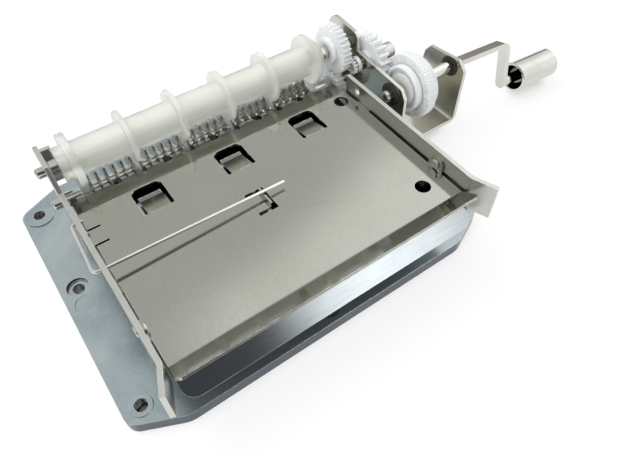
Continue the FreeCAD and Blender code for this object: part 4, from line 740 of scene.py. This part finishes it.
lamps = {
    "topSoftbox": {"place": (-0.15, 0.25, 0.55), "target": (0.0, 0.0, 0.0), "size": (0.5, 0.4), "power": 2.2},
    "sideFill": {"place": (-0.40, -0.30, 0.35), "target": (0.03, 0.0, 0.01), "size": (0.4, 0.3), "power": 1.6},
}
white = (1.0, 1.0, 1.0)


# White to the rays that see it, except close under the object, where its own shadow is kept
def buildFloor():
    half = studio["floorHalf"]
    mesh = bpy.data.meshes.new("floorMesh")
    corners = [(-half, -half, 0), (half, -half, 0), (half, half, 0), (-half, half, 0)]
    mesh.from_pydata(corners, [], [(0, 1, 2, 3)])
    floor = bpy.data.objects.new("paleFloor", mesh)
    scene.collection.objects.link(floor)
    material = bpy.data.materials.new("paleFloorPaper")
    material.use_nodes = True
    tree = material.node_tree
    tree.nodes.clear()
    output = tree.nodes.new("ShaderNodeOutputMaterial")
    diffuse = addNode(tree, "ShaderNodeBsdfDiffuse")
    diffuse.inputs["Color"].default_value = (studio["floorWhite"],) * 3 + (1.0,)
    glow = addNode(tree, "ShaderNodeEmission", Strength=1.0)
    path = tree.nodes.new("ShaderNodeLightPath")
    seen = mathNode(tree, "MAXIMUM", path.outputs["Is Camera Ray"],
                    mathNode(tree, "MAXIMUM", path.outputs["Is Glossy Ray"], path.outputs["Is Transmission Ray"]))
    nearness = addNode(tree, "ShaderNodeAmbientOcclusion", samples=studio["contactSamples"],
                       Distance=studio["contactReach"])
    openFloor = mapRange(tree, nearness.outputs["AO"], *studio["contactSpan"])
    share = mathNode(tree, "MULTIPLY", mathNode(tree, "MULTIPLY", seen, openFloor), studio["whiteShare"])
    blend = tree.nodes.new("ShaderNodeMixShader")
    join(tree, (share, blend.inputs[0]), (diffuse.outputs[0], blend.inputs[1]), (glow.outputs[0], blend.inputs[2]),
         (blend.outputs[0], output.inputs["Surface"]))
    mesh.materials.append(material)


# A white room: its shaded front, its window and its brown skirting show only in glossy surfaces
def buildWorld():
    world = bpy.data.worlds.new("whiteRoom")
    scene.world = world
    world.use_nodes = True
    tree = world.node_tree
    tree.nodes.clear()
    output = tree.nodes.new("ShaderNodeOutputWorld")
    direction = tree.nodes.new("ShaderNodeTexCoord").outputs["Generated"]
    path = tree.nodes.new("ShaderNodeLightPath")

    def background(colour, strength):
        node = addNode(tree, "ShaderNodeBackground", Strength=strength)
        if isinstance(colour, tuple):
            node.inputs["Color"].default_value = (*colour, 1.0)
        else:
            join(tree, (colour, node.inputs["Color"]))
        return node.outputs[0]

    def blended(factor, first, second):
        node = tree.nodes.new("ShaderNodeMixShader")
        join(tree, (factor, node.inputs[0]), (first, node.inputs[1]), (second, node.inputs[2]))
        return node.outputs[0]

    def turned(towards, span, *levels):
        return mapRange(tree, facing(tree, direction, towards), *span, *levels)

    slope = turned(studio["skyTowards"], studio["skySpan"], studio["skyLow"], studio["skyHigh"])
    ceiling = mathNode(tree, "MULTIPLY", turned(axes["back"], studio["overheadBack"]),
                       turned(axes["right"], studio["overheadRight"]))
    overhead = mathNode(tree, "MULTIPLY", ceiling, turned(axes["up"], studio["overheadUp"]))
    window = turned(studio["windowTowards"], studio["windowSpan"])
    bright = mathNode(tree, "ADD", slope, mathNode(tree, "MULTIPLY", overhead, studio["overheadLevel"]))
    extra = mathNode(tree, "SUBTRACT", studio["windowLevel"], bright)
    level = mathNode(tree, "ADD", bright, mathNode(tree, "MULTIPLY", window, extra))
    sky = tree.nodes.new("ShaderNodeCombineXYZ")
    join(tree, (level, sky.inputs[0]), (level, sky.inputs[1]), (level, sky.inputs[2]))
    low = turned(axes["up"], studio["horizonUp"])
    behind = turned(axes["back"], studio["horizonBack"])
    skirting = mixColour(tree, mathNode(tree, "MULTIPLY", low, behind), sky.outputs[0], studio["horizonShade"])
    near = turned(studio["frontTowards"], studio["frontSpan"])
    besideWindow = mathNode(tree, "SUBTRACT", 1.0, window)
    room = mixColour(tree, mathNode(tree, "MULTIPLY", near, besideWindow), skirting, studio["frontShade"])
    lit = blended(path.outputs["Is Glossy Ray"], background(white, studio["worldDiffuse"]), background(room, 1.0))
    seen = mathNode(tree, "MAXIMUM", path.outputs["Is Camera Ray"], path.outputs["Is Transmission Ray"])
    join(tree, (blended(seen, lit, background(white, 1.0)), output.inputs["Surface"]))


def addLamp(name, values):
    data = bpy.data.lights.new(name, "AREA")
    data.shape = "RECTANGLE"
    data.size, data.size_y = values["size"]
    data.energy = values["power"]
    lamp = bpy.data.objects.new(name, data)
    scene.collection.objects.link(lamp)
    lamp.visible_glossy = False
    lamp.location = values["place"]
    lamp.rotation_mode = "QUATERNION"
    lamp.rotation_quaternion = (Vector(values["target"]) - Vector(values["place"])).to_track_quat("-Z", "Y")


def buildCamera():
    data = bpy.data.cameras.new("viewCamera")
    data.sensor_width = studio["sensor"]
    data.lens = studio["lens"]
    data.clip_start = studio["clipStart"]
    data.clip_end = studio["clipEnd"]
    camera = bpy.data.objects.new("viewCamera", data)
    scene.collection.objects.link(camera)
    camera.location = studio["cameraPlace"]
    camera.rotation_mode = "QUATERNION"
    aim = Vector(studio["cameraTarget"]) - Vector(studio["cameraPlace"])
    camera.rotation_quaternion = aim.to_track_quat("-Z", "Y")
    scene.camera = camera


buildFloor()
buildWorld()
for name, values in lamps.items():
    addLamp(name, values)
buildCamera()
scene.view_settings.view_transform = "Standard"
print("studio ready")
